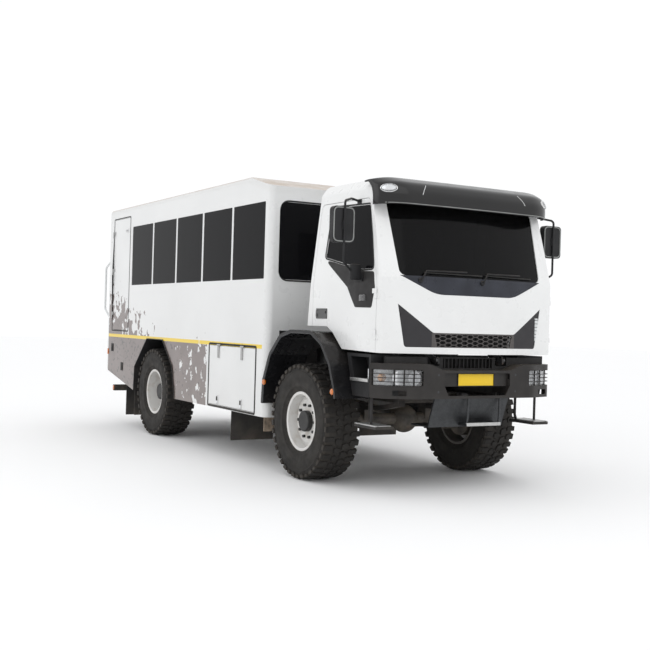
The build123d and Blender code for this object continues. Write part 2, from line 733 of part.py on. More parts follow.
def rear_door():
    """The left passenger door, as thick as the wall that it closes."""
    leaf = side_plate(rectangle(grown(DOOR_X, -CLEAR), grown(DOOR_Z, -CLEAR), 8),
                      BODY_HALF - WALL, BODY_HALF)
    return leaf + door_hinge_leaves()


def locker_hinge_pins():
    """Fixed halves of the locker hinges above the opening."""
    y, z = LOCKER_AXIS
    pins = Part()
    for x in LOCKER_HINGES:
        half = HINGE_LEN / 2
        lug = block((x, x + half), (BODY_HALF - 4, y), (z, z + HINGE_R))
        lug += rod((x, y, z), (x + half, y, z), HINGE_R)
        pins += lug + rod((x, y, z), (x - half, y, z), HINGE_PIN)
    return pins - side_plate(rectangle(LOCKER_X, LOCKER_Z), BODY_HALF - 100, BODY_HALF)


def locker_door():
    """The left locker door with its hinge straps."""
    y, z = LOCKER_AXIS
    leaf = side_plate(rectangle(grown(LOCKER_X, -CLEAR), grown(LOCKER_Z, -CLEAR), 8),
                      BODY_HALF - WALL, BODY_HALF)
    for x in LOCKER_HINGES:
        low = x - HINGE_LEN / 2
        high = x - FIT
        barrel = rod((low, y, z), (high, y, z), HINGE_R)
        strap = block((low, high), (BODY_HALF + 2, y), (z - 150, z))
        strap += block((low, high), (BODY_HALF, y), (z - 150, z - 20))
        bore = rod((low - 1, y, z), (high + 1, y, z), HINGE_PIN + PIN_FIT)
        leaf += barrel + strap - bore
        latch = (x - 29, LOCKER_Z[0] + LATCH_UP)
        leaf += rod((latch[0], BODY_HALF, latch[1]), (latch[0], BODY_HALF + LATCH_OUT, latch[1]), LATCH_R)
    return leaf


# Cab

def cab_plan(inset):
    """Plan of the cab with its bowed front, as a face at the height of the belt line."""
    half = CAB_HALF - inset
    face = FACE_X - inset
    side = face - FACE_BOW * (half / CAB_HALF) ** 2
    arc = ThreePointArc((side, half, BELT), (face, 0, BELT), (side, -half, BELT))
    back = Polyline((side, -half, BELT), (-900, -half, BELT), (-900, half, BELT), (side, half, BELT))
    shape = make_face([arc, back]).face()
    front = [corner for corner in shape.vertices() if corner.X > 0]
    return shape.fillet_2d(FACE_CORNER, front)


def cab_form(inset):
    """The cab's closed outer form, or the space left inside a wall as thick as inset."""
    face = cab_plan(inset)
    lower = extrude(face, amount=BELT - 1000, dir=(0, 0, -1))
    rise = CAB_ROOF + 100 - BELT
    length = rise * math.hypot(1, RAKE)
    upper = extrude(face, amount=length, dir=(-RAKE, 0, 1))
    nose = lower + upper
    top = CAB_ROOF - inset
    rear = CAB_REAR + inset
    sides = [(rear, CAB_ARCH + inset), (rear + 40, 1950), (rear + 140, EAVES), (rear + 150, top, 50),
             (1075 - inset, top - 12, 100), (1560, 1600), (1560, CAB_LOW + inset),
             (600 + inset * 0.5, CAB_LOW + 20 + inset), (405 + inset * 0.5, CAB_ARCH - 50 + inset),
             (300, CAB_ARCH + inset)]
    half = CAB_HALF - inset
    base = half + TUMBLE * (SHOULDER - 1000) / (EAVES - SHOULDER)
    section = [(base, 1000), (half - TUMBLE, EAVES, 60), (half - TUMBLE - 70, top, 60)]
    section += [(-y, z, *rest) for y, z, *rest in reversed(section)]
    return nose & side_plate(sides, -half - 50, half + 50) & front_plate(section, -900, 2000)


def door_points(gap):
    """Side outline of a cab door, made smaller by gap."""
    g = gap
    front = DOOR_FRONT - g
    lean = RAKE * (DOOR_TOP - BELT)
    return [(front, CAB_LOW - 40), (front, BELT - 60), (front - lean + g, DOOR_TOP - g, 60),
            (DOOR_BACK + 70 + g, DOOR_TOP - g, 60), (DOOR_BACK + g, 1960), (DOOR_BACK + g, CAB_ARCH - 40),
            (290, CAB_ARCH - 40), (395, CAB_ARCH - 90), (590, CAB_LOW - 40)]


def cab_shell():
    """Floor, back, roof, pillars and front corners of the cab as one welded shell."""
    shell = FORM_OUT - FORM_IN
    side = side_plate(door_points(0), CAB_HALF - CAB_T - 60, CAB_HALF + 60)
    shell = shell - side - mirrored(side)
    shell -= front_plate(SCREEN_POINTS, 700, 1600)
    shell -= front_plate(PANEL_POINTS, PANEL_REAR, 1600)
    shell -= front_plate(rectangle(*CAB_WINDOW, 50), CAB_REAR - 50, CAB_REAR + 400)
    return shell + cab_ear() + mirrored(cab_ear()) + cab_hinge_pins() + mirrored(cab_hinge_pins())


def cab_ear():
    """The lug under the cab floor that turns on the frame's pin."""
    x, z = CAB_PIVOT
    y = (PIVOT_Y + FIT, PIVOT_Y + FIT + EAR_T)
    ear = rod((x, y[0], z), (x, y[1], z), EAR_R)
    ear += side_plate([(x - 20, z - EAR_R + 6), (x + 6, z + EAR_R - 1), (PANEL_REAR - 30, CAB_LOW + 15),
                       (PANEL_REAR - 120, CAB_LOW + 15)], *y)
    return ear - rod((x, y[0] - 1, z), (x, y[1] + 1, z), PIVOT_R + PIN_FIT)


def cab_front_panel():
    """The white front panel, recessed where the grille sits and open behind the mesh."""
    zone = front_plate(PANEL_POINTS, PANEL_REAR, 1600) - front_plate(BOW_POINTS, 900, 1700)
    panel = (FORM_OUT - FORM_IN) & zone
    recess = (FORM_OUT - FORM_SKIN) & front_plate(GRILLE_POINTS, 1000, 1600)
    return panel - recess - front_plate(MESH_POINTS, 1000, 1600)


def wiper_cowl():
    """Black cowl under the windscreen, where the wipers park."""
    return (FORM_TRIM - FORM_IN) & front_plate(BOW_POINTS, 900, 1700)


def cab_grille():
    """Black grille insert in the front panel."""
    zone = front_plate(GRILLE_POINTS, 1000, 1600)
    insert = (FORM_TRIM - FORM_SKIN) & zone
    lamp = (FORM_OUT - FORM_SKIN) & front_plate(rectangle(*COLUMN_LAMP, 12), 1000, 1600) & zone
    return insert - front_plate(MESH_POINTS, 1000, 1600) + grille_mesh() + lamp + mirrored(lamp)


def hexagon(y, z):
    """Outline of one long cell of the honeycomb round its centre."""
    half = (COMB_PITCH * 4 / 3 - COMB_BAR) / 2
    rise = (COMB_ROW - COMB_BAR) / 2
    return [(y - half, z), (y - half / 2, z + rise), (y + half / 2, z + rise), (y + half, z),
            (y + half / 2, z - rise), (y - half / 2, z - rise)]


def grille_mesh():
    """The honeycomb of the grille: staggered columns of cells through a layer that follows the bow."""
    layer = (FORM_TRIM - FORM_SKIN) & front_plate(MESH_POINTS, 1000, 1600)
    middle = sum(MESH_Z) / 2
    cells = []
    for column in range(-COMB_SIDE, COMB_SIDE + 1):
        steps = (-1, 0, 1) if column % 2 else (-1.5, -0.5, 0.5, 1.5)
        for step in steps:
            outline_points = hexagon(column * COMB_PITCH, middle + step * COMB_ROW)
            cells.append(front_plate(outline_points, 1000, 1600))
    return layer - cells


def cab_pane(cutter):
    """A pane that follows the cab's outer form a little inside it."""
    return (FORM_PANE_OUT - FORM_PANE_IN) & cutter


def cab_glass():
    """Windscreen and rear pane."""
    screen = cab_pane(front_plate(inner_points(SCREEN_POINTS), 700, 1600))
    spans = [grown(span, -FIT) for span in CAB_WINDOW]
    rear = cab_pane(front_plate(rectangle(*spans, 50), CAB_REAR - 50, 400))
    return [screen, rear]


def inner_points(points):
    """Outline points pulled towards their middle by the glazing fit."""
    a = sum(p[0] for p in points) / len(points)
    b = sum(p[1] for p in points) / len(points)
    moved = []
    for p in points:
        da = FIT if p[0] < a else -FIT
        db = FIT if p[1] < b else -FIT
        moved.append((p[0] + da, p[1] + db, *p[2:]))
    return moved


def cab_hinge_pins():
    """Fixed halves of the left cab door's hinges."""
    x, y = CAB_AXIS
    pins = Part()
    for z in CAB_HINGES:
        half = HINGE_LEN / 2
        lug = block((x, x + HINGE_R), (CAB_HALF - 6, y), (z, z + half))
        lug += block((x + 4, x + 34), (CAB_HALF - 10, CAB_HALF + 2), (z, z + half))
        lug += Pos(x, y, z) * extrude(Circle(HINGE_R), amount=half)
        pins += lug + Pos(x, y, z) * extrude(Circle(HINGE_PIN), amount=HINGE_LEN)
    return pins - side_plate(door_points(-2), CAB_HALF - 100, CAB_HALF)


def cab_door():
    """The left cab door, cut from the cab's side wall, with its window opening and hinges."""
    y = (CAB_HALF - CAB_T - 55, CAB_HALF + 60)
    leaf = (FORM_OUT - FORM_IN) & side_plate(door_points(CLEAR), CAB_HALF - CAB_T - 57, CAB_HALF + 60)
    leaf -= side_plate(WINDOW_POINTS, *y)
    x, ya = CAB_AXIS
    for z in CAB_HINGES:
        z0 = z + HINGE_LEN / 2 + FIT
        z1 = z + HINGE_LEN
        barrel = Pos(x, ya, z0) * extrude(Circle(HINGE_R), amount=z1 - z0)
        strap = block((x - 60, x), (CAB_HALF + 2, ya), (z0, z1))
        strap += block((x - 60, x - 20), (CAB_HALF, ya), (z0, z1))
        bore = Pos(x, ya, z0 - 1) * extrude(Circle(HINGE_PIN + PIN_FIT), amount=HINGE_LEN)
        leaf += barrel + strap - bore
    return leaf + door_handle()


def door_handle():
    """The shallow dish of the door's handle with the grip across it."""
    dish = side_plate(rectangle(HANDLE_X, HANDLE_Z, 30), CAB_HALF - 10, CAB_HALF + 5)
    finger = side_plate(rectangle(grown(HANDLE_X, -24), grown(HANDLE_Z, -16), 20), CAB_HALF - 2, CAB_HALF + 6)
    middle = sum(HANDLE_Z) / 2
    grip = block(grown(HANDLE_X, -20), (CAB_HALF - 4, CAB_HALF + 12), (middle + 2, middle + 26))
    return dish - finger + grip


def door_glass():
    """Window pane of the left cab door."""
    return cab_pane(side_plate(inner_points(WINDOW_POINTS), CAB_HALF - CAB_T - 55, CAB_HALF + 60))


def sun_visor():
    """The dark moulded visor across the top of the windscreen."""
    top = CAB_ROOF - 4
    section = [(900, top + 6), (1010, top + 10, 60), (1262, 2900, 90), (1300, 2720, 12), (1250, 2716),
               (1190, 2870, 60), (1020, 2920), (900, 2920)]
    body = side_plate(section, -1036, 1036)
    plan = [(700, 1036), (1090, 1036, 90), (1290, 800, 260), (1300, 0), (1290, -800, 260), (1090, -1036, 90),
            (700, -1036)]
    lamp = rod((1200, VISOR_LAMP[0], VISOR_LAMP[1]), (1262, VISOR_LAMP[0], VISOR_LAMP[1]), VISOR_LAMP[2])
    body = (body & plan_plate(plan, 2600, 3100)) + lamp + mirrored(lamp)
    return body - FORM_OUT


def dashboard():
    """Dashboard across the cab with the steering wheel and its column on the right."""
    points = [(960, 1700), (1020, 2030, 40), (1215, 2040), (1290, 1960), (1290, 1700)]
    board = side_plate(points, -CAB_HALF + CAB_T + 20, CAB_HALF - CAB_T - 20) & FORM_IN
    hub = (830, -520, 2080)
    column = rod((1014, -520, 1942), hub, 28)
    axis = Plane(origin=hub, z_dir=(-0.8, 0, 0.6))
    ring = axis * Torus(215, 15)
    spokes = axis * Box(410, 36, 14) + axis * Cylinder(60, 24)
    return board + column + ring + spokes


def cab_seat():
    """Left cab seat."""
    z = CAB_ARCH + CAB_T
    y = (300, 780)
    base = block((200, 560), (360, 720), (z, z + 180))
    cushion = side_plate([(150, z + 180), (640, z + 180), (650, z + 320, 50), (150, z + 290)], *y)
    back = side_plate([(130, z + 250), (260, z + 250), (200, z + 1050, 30), (110, z + 1050, 30)], *y)
    return base + cushion + back


def mirror_arm():
    """Left mirror: a bent tube from the door's top to its lower bracket, with the head on it."""
    y = (MIRROR_Y[0] + MIRROR_Y[1]) / 2
    x = MIRROR_X + 40
    points = [(790, CAB_HALF - 60, 2766), (800, CAB_HALF + 60, 2790), (x, y, 2740), (x, y, 2170),
              (900, CAB_HALF + 60, 2050), (890, CAB_HALF - 20, 2040)]
    arm = tube(points, 11, 40)
    head = front_plate(rectangle(MIRROR_Y, MIRROR_Z, 40), MIRROR_X - 35, MIRROR_X + 28)
    clamp = block((x - 30, x), (y - 20, y + 20), (2480, 2560))
    bracket = block((850, 960), (CAB_HALF - 30, CAB_HALF + 22), (2000, 2080))
    foot = block((760, 820), (CAB_HALF - 70, CAB_HALF - 30), (2745, 2788))
    return (arm + head + clamp + bracket + foot) - FORM_OUT


# Lower front

def front_bumper():
    """Steel bumper: a plate bent round the front, with a return along its top and bottom."""
    z0, z1 = BUMPER_Z
    plan = [(BUMPER_FRONT, -680, 300), (BUMPER_FRONT, 680, 300), (1300, 985, 120), (BUMPER_END, BUMPER_HALF),
            (BUMPER_END, -BUMPER_HALF), (1300, -985, 120)]
    front = [(-BUMPER_HALF, z0, 20), (BUMPER_HALF, z0, 20), (BUMPER_HALF, z1, 20), (560, z1, 120),
             (400, BUMPER_DIP, 120), (-400, BUMPER_DIP, 120), (-560, z1, 120), (-BUMPER_HALF, z1, 20)]
    solid = plan_plate(plan, z0 - 10, z1 + 10) & front_plate(front, 900, 1500)
    plan_in = [(BUMPER_FRONT - BUMPER_T, -676, 290), (BUMPER_FRONT - BUMPER_T, 676, 290), (1290, 968, 110),
               (1126, BUMPER_HALF - BUMPER_T), (900, BUMPER_HALF - BUMPER_T), (900, -BUMPER_HALF + BUMPER_T),
               (1126, -BUMPER_HALF + BUMPER_T), (1290, -968, 110)]
    t = BUMPER_T
    front_in = [(-1080, z0 + t), (1080, z0 + t), (1080, z1 - t), (565, z1 - t, 110),
                (405, BUMPER_DIP - t, 110), (-405, BUMPER_DIP - t, 110), (-565, z1 - t, 110), (-1080, z1 - t)]
    space = plan_plate(plan_in, z0 - 20, z1 + 20) & front_plate(front_in, 800, 1500)
    skin = solid - space
    mouth = [(-395, 1158, 16), (395, 1158, 16), (395, 1037), (345, 943, 16), (-345, 943, 16), (-395, 1037)]
    shell = skin - front_plate(mouth, 1300, 1500)
    for side in (1, -1):
        y = sorted((side * LAMP_INNER, side * (BUMPER_HALF + 40)))
        shell -= front_plate(rectangle(y, LAMP_Z, 16), 1150, 1500)
        shell -= front_plate(rectangle(sorted((side * 800, side * 930)), (945, 995), 8), 1200, 1500)
        for z in BRACKET_HOLES:
            bolt = (side * BRACKET_Y, z)
            shell -= rod((BUMPER_FRONT - 40, *bolt), (BUMPER_FRONT + 5, *bolt), BRACKET_R)
    shell -= block((900, BUMPER_FRONT - BUMPER_DEPTH), (-960, 960), (z0 - 5, z1 + 5))
    plate = block((BUMPER_FRONT - 50, BUMPER_FRONT - 38), (-420, 420), (1032, 1170))
    stay = block((RAIL_FRONT, BUMPER_FRONT - BUMPER_T), (385, 425), (960, 1100))
    guard = skin & lamp_guard_zone()
    return shell + plate + stay + mirrored(stay) + guard + mirrored(guard)


def lamp_guard_zone():
    """Bars across the left headlamp opening, which keep the form of the bumper's plate."""
    bars = []
    for z in GUARD_Z:
        bars.append(block((1140, 1500), (LAMP_INNER - 5, BUMPER_HALF + 5), (z - GUARD_BAR, z + GUARD_BAR)))
    for y in GUARD_Y:
        bars.append(block((1140, 1500), (y - GUARD_BAR, y + GUARD_BAR), grown(LAMP_Z, 5)))
    return Part() + bars


def headlamps():
    """Left headlamp unit behind the bumper face."""
    plan = [(BUMPER_FRONT - 18, 500), (BUMPER_FRONT - 18, 678, 282), (1284, 967, 105),
            (1150, BUMPER_HALF - 26), (1150, BUMPER_HALF - 70), (1190, 900, 100), (1290, 500)]
    zone = block((900, 1500), (LAMP_INNER + 3, BUMPER_HALF), (LAMP_Z[0] + 3, LAMP_Z[1] - 3))
    return plan_plate(plan, LAMP_Z[0] - 20, LAMP_Z[1] + 20) & zone


def lower_grille():
    """Dark panel between the bumper and the cab, with a slatted intake and two pockets."""
    x = (BUMPER_FRONT - BUMPER_DEPTH - 40, BUMPER_FRONT - BUMPER_DEPTH)
    half = [(600, 1160), (600, 1188), (950, 1188), (950, 1303)]
    panel = front_plate(half + [(-y, z) for y, z in reversed(half)], *x)
    panel -= block(grown(x, 5), (-300, 300), (1198, 1290))
    for i in range(13):
        y = -276 + i * 46
        panel += block((x[0] + 8, x[1] - 8), (y - 5, y + 5), (1198, 1290))
    pocket = front_plate([(340, 1350), (480, 1350), (480, 1220), (340, 1220)], x[0] - 5, x[1] + 5)
    return panel - pocket - mirrored(pocket)


def underguard():
    """Grey guard under the bumper with its chequer-plate shelf, bars and step."""
    top = BUMPER_Z[0]
    plate = side_plate([(1245, top), (1265, top), (1180, 690), (1165, 625), (880, 625), (880, 640),
                        (1152, 640), (1162, 690)], -400, 500)
    guard = plate + block((1150, 1290), (-40, 390), (640, 666))
    for y in (-20, 370):
        guard += tube([(1282, y, top), (1282, y, 720), (1262, y, 645)], 11, 60)
    return guard


def cab_step():
    """Left entry: step well beside the wheel, its tread, and the hoop with the low tread."""
    end = BUMPER_END - CLEAR
    well = side_plate([(820, 915), (1100, 915), (end, 1060), (end, 1318), (704, 1318), (792, 1010)],
                      720, 1050)
    pocket = side_plate([(850, 1084), (1095, 1084), (1095, 1290), (775, 1290)], 880, 1100)
    tread = block((840, 1100), (880, 1066), (1058, 1084))
    hoop = tube([(900, 900, 930), (900, 900, 700), (930, 900, 641), (1230, 900, 641)], 14, 40)
    low = block((870, 1240), (850, 1050), (628, 654))
    leg = rod((1085, 1000, 930), (1085, 1000, 640), 13)
    arm = block((900, 960), (RAIL_HALF, 720), (1000, 1060))
    return well - pocket + tread + hoop + low + leg + arm


def front_mudguard():
    """Left wheel-arch tunnel with its lip over the front wheel."""
    points = [(-708, 716), (-690, 960, 60), (-560, 1235, 120), (-330, 1440, 160), (-110, 1490, 120),
              (300, 1490, 160), (510, 1385, 160), (668, 1200, 160), (760, 990, 60), (790, 880)]
    band = arch_band(points, FLARE_T, FLARE_IN, FLARE_OUT)
    lip = arch_band(points, FLARE_LIP, FLARE_OUT - 30, FLARE_OUT)
    rear_arm = rod((-699, RAIL_HALF, 960), (-699, FLARE_IN + 60, 960), 14)
    front_arm = rod((736, RAIL_HALF, 1060), (736, FLARE_IN + 60, 1060), 14)
    return band + lip + rear_arm + front_arm


def arch_band(points, thick, y_low, y_high):
    """An open band that follows points at an even thickness."""
    line = FilletPolyline(*[(p[0], y_low, p[1]) for p in points], radius=[p[2] for p in points[1:-1]])
    other = line.offset_2d(thick, side=Side.LEFT, closed=False)
    if other.bounding_box().max.Z < line.bounding_box().max.Z:
        other = line.offset_2d(thick, side=Side.RIGHT, closed=False)
    ends = sorted([other @ 0, other @ 1], key=lambda p: p.X)
    start = Line(line @ 0, ends[0])
    finish = Line(line @ 1, ends[1])
    face = make_face(list(line.edges()) + list(other.edges()) + [start, finish])
    return extrude(face, amount=y_high - y_low, dir=(0, 1, 0))


def mudflaps():
    """Flaps behind the front and rear wheels on the left side."""
    side = BODY_HALF
    flaps = [block((BODY_FRONT - 920, BODY_FRONT - 910), (LOCKER_IN + 5, side - 45), (205, BODY_LOW)),
             block((BODY_FRONT - 115, BODY_FRONT - 103), (800, side - 60), (395, BODY_LOW))]
    for x, y, low in ((TAIL_X - 127, (750, side - 65), 190), (TAIL_X - 547, (720, side - 90), 155)):
        points = [(x, low), (x + 10, low), (x + 10, tail_floor(x + 10)), (x, tail_floor(x))]
        flaps.append(side_plate(points, *y))
    return flaps


def rear_beam():
    """Underrun beam at the tail with its two stays up to the frame."""
    half = BODY_HALF - 50
    beam = block((BODY_REAR + 153, BODY_REAR + 213), (-half, half), BEAM_Z)
    y = (RAIL_HALF - 60, RAIL_HALF - 20)
    stay = block((BODY_REAR + 163, BODY_REAR + 203), y, (BEAM_Z[1], RAIL_TOP - RAIL_H))
    return beam + stay + mirrored(stay)


BODY_SPACE = body_form(WALL)
SHELL = body_shell()
ROOF_ZONE = roof_zone()
FORM_OUT = cab_form(0)
FORM_IN = cab_form(CAB_T)
FORM_TRIM = cab_form(TRIM_IN)
FORM_SKIN = cab_form(PANEL_SKIN)
FORM_PANE_OUT = cab_form(PANE_IN)
FORM_PANE_IN = cab_form(PANE_IN + PANE_T)

save("chassis_frame", chassis_frame())
save("driveline", driveline())
save("front_axle", front_axle())
save("rear_axle", rear_axle())
save("leaf_springs", *both(leaf_spring(FRONT_WHEEL)), *both(leaf_spring(REAR_WHEEL)))
save("fuel_tank", fuel_tank())
save("knuckle_left", knuckle())
save("knuckle_right", mirrored(knuckle()))
save("tie_rod", tie_rod())

front_hub = (FRONT_DISC, FRONT_DISC + 55, FRONT_DISC + 32)
rear_hub = (REAR_DISC, REAR_DISC + 110, REAR_DISC + 42)
save("front_tyre_left", tyre(FRONT_WHEEL))
save("front_tyre_right", mirrored(tyre(FRONT_WHEEL)))
save("rear_tyre_left", tyre(REAR_WHEEL))
save("rear_tyre_right", mirrored(tyre(REAR_WHEEL)))
save("front_rim_left", rim(FRONT_WHEEL, *front_hub, NUT_R["left"]))
save("front_rim_right", mirrored(rim(FRONT_WHEEL, *front_hub, NUT_R["right"])))
save("rear_rim_left", rim(REAR_WHEEL, *rear_hub, NUT_R["left"]))
save("rear_rim_right", mirrored(rim(REAR_WHEEL, *rear_hub, NUT_R["right"])))

save("body_floor", body_floor())
save("luggage_lockers", *[box & BODY_SPACE for box in both(locker_box())])
save("tail_boxes", *[box & BODY_SPACE for box in both(tail_box())])
save("body_side_left", body_side())
save("body_side_right", mirrored(body_side()))
save("body_front_wall", body_front_wall())
save("body_rear_wall", body_rear_wall())
save("body_roof", SHELL & ROOF_ZONE)
save("body_glass", *body_glass())
save("rear_arch_liners", *both(arch_liner()))
save("passenger_seats", *passenger_seats())
save("handrails", *both(handrail()))
save("rear_door_left", rear_door())
save("rear_door_right", mirrored(rear_door()))
save("locker_door_left", locker_door())
save("locker_door_right", mirrored(locker_door()))

save("cab_shell", cab_shell())
save("cab_front_panel", cab_front_panel())
save("wiper_cowl", wiper_cowl())
save("cab_grille", cab_grille())
save("cab_glass", *cab_glass())
save("sun_visor", sun_visor())
save("dashboard", dashboard())
save("cab_seats", *both(cab_seat()))
save("cab_door_left", cab_door())
save("cab_door_right", mirrored(cab_door()))
save("door_glass_left", door_glass())
save("door_glass_right", mirrored(door_glass()))
save("mirror_left", mirror_arm())
save("mirror_right", mirrored(mirror_arm()))

save("front_bumper", front_bumper())
save("headlamps", *both(headlamps()))
save("lower_grille", lower_grille())
save("underguard", underguard())
save("cab_steps", *both(cab_step()))
save("front_mudguards", *both(front_mudguard()))
save("mudflaps", *[solid for flap in mudflaps() for solid in both(flap)])
save("rear_beam", rear_beam())
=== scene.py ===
import bmesh
import bpy
import math
from mathutils import Matrix, Vector
from mathutils.bvhtree import BVHTree


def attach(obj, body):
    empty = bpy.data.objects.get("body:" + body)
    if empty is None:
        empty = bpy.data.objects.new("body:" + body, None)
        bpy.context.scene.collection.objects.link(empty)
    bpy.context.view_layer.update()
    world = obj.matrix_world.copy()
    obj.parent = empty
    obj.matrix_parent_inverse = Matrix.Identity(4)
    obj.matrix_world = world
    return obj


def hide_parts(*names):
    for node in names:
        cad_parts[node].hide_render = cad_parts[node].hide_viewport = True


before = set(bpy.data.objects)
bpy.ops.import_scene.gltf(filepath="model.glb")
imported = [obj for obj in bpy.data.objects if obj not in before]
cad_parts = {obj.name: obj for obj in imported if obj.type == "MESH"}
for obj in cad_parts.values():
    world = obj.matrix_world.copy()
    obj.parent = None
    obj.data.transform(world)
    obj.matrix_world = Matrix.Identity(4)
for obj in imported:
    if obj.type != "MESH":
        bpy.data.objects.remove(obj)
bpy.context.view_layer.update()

# Sizes are metres. X is counted from the front axle, and at() moves a point into the frame.
FRONT_AXLE = 2.499
WHEELBASE = 4.150
WHEEL_Y = 0.990
TYRE_R = 0.590
TYRE_HALF = 0.1975
TREAD_BASE = 0.570
PITCHES = 38
HUB_R = 0.116
NUT_RING = (0.146, 0.188)
BODY_Y = 1.200
BODY_REAR = -6.053
BODY_FRONT = -0.735
STRIPE_Z = (1.295, 1.340)
STRIPE_GAP = -2.546
STRIPE_FRONT = -0.752
BAND_FRONT = -2.30
BAND_TOP = 2.20
LOCKER_X = (-2.214, -0.979)
LOCKER_Z = (0.590, 1.296)
LATCH_X = (-1.954, -1.316)
DOOR_X = (-5.865, -5.172)
DOOR_Z = (1.402, 3.049)
BEAM_X = -5.902
BEAM_Z = 0.525
CAB_Y = 1.050
CAB_UNDER_Z = 1.328
CAB_ARCH_X = 1.10
CAB_ARCH_Z = 1.62
MESH_Y = 0.500
MESH_Z = (1.360, 1.560)
COLUMN_Y = (0.796, 0.840)
COLUMN_Z = (1.476, 1.704)
HANDLE_X = (0.076, 0.301)
HANDLE_Z = (1.639, 1.743)
MIRROR_Y = 1.288
VISOR_Y = 1.034
VISOR_FLAT = 0.700
VISOR_WRAP = 0.334
BUMPER_X = 1.400
LAMP_Z = (1.039, 1.181)
PLATE_Z = 1.0935
SEAT_ROWS = 6
SEAT_PITCH = 0.740
SEAT_FLOOR = 1.350
CAB_FLOOR = 1.610
SENSOR = 36.0
FOCAL_PIXELS = 1018.5
PHOTO_PIXELS = 650.0
SIDES = {"right": -1, "left": 1}

DUST = (0.42, 0.35, 0.27)
BODY_WHITE = (0.735, 0.74, 0.735)
MAUVE = (0.140, 0.108, 0.098)
MAUVE_PALE = (0.175, 0.138, 0.128)
MAUVE_DARK = (0.058, 0.044, 0.041)
EVEN = (1.0, 1.0, 1.0)


def ahead(x):
    """A distance counted from the front axle, in the frame."""
    return x + FRONT_AXLE


def at(x, y, z):
    """A point counted from the front axle, in the frame."""
    return Vector((ahead(x), y, z))


# Materials


def grey(tone):
    return (tone, tone, tone)


def shade(tone, share):
    return tuple(c * share for c in tone)


def arithmetic(operation):
    """A method of Look for one kind of arithmetic on two values."""
    return lambda look, a, b: look.calc(operation, a, b)


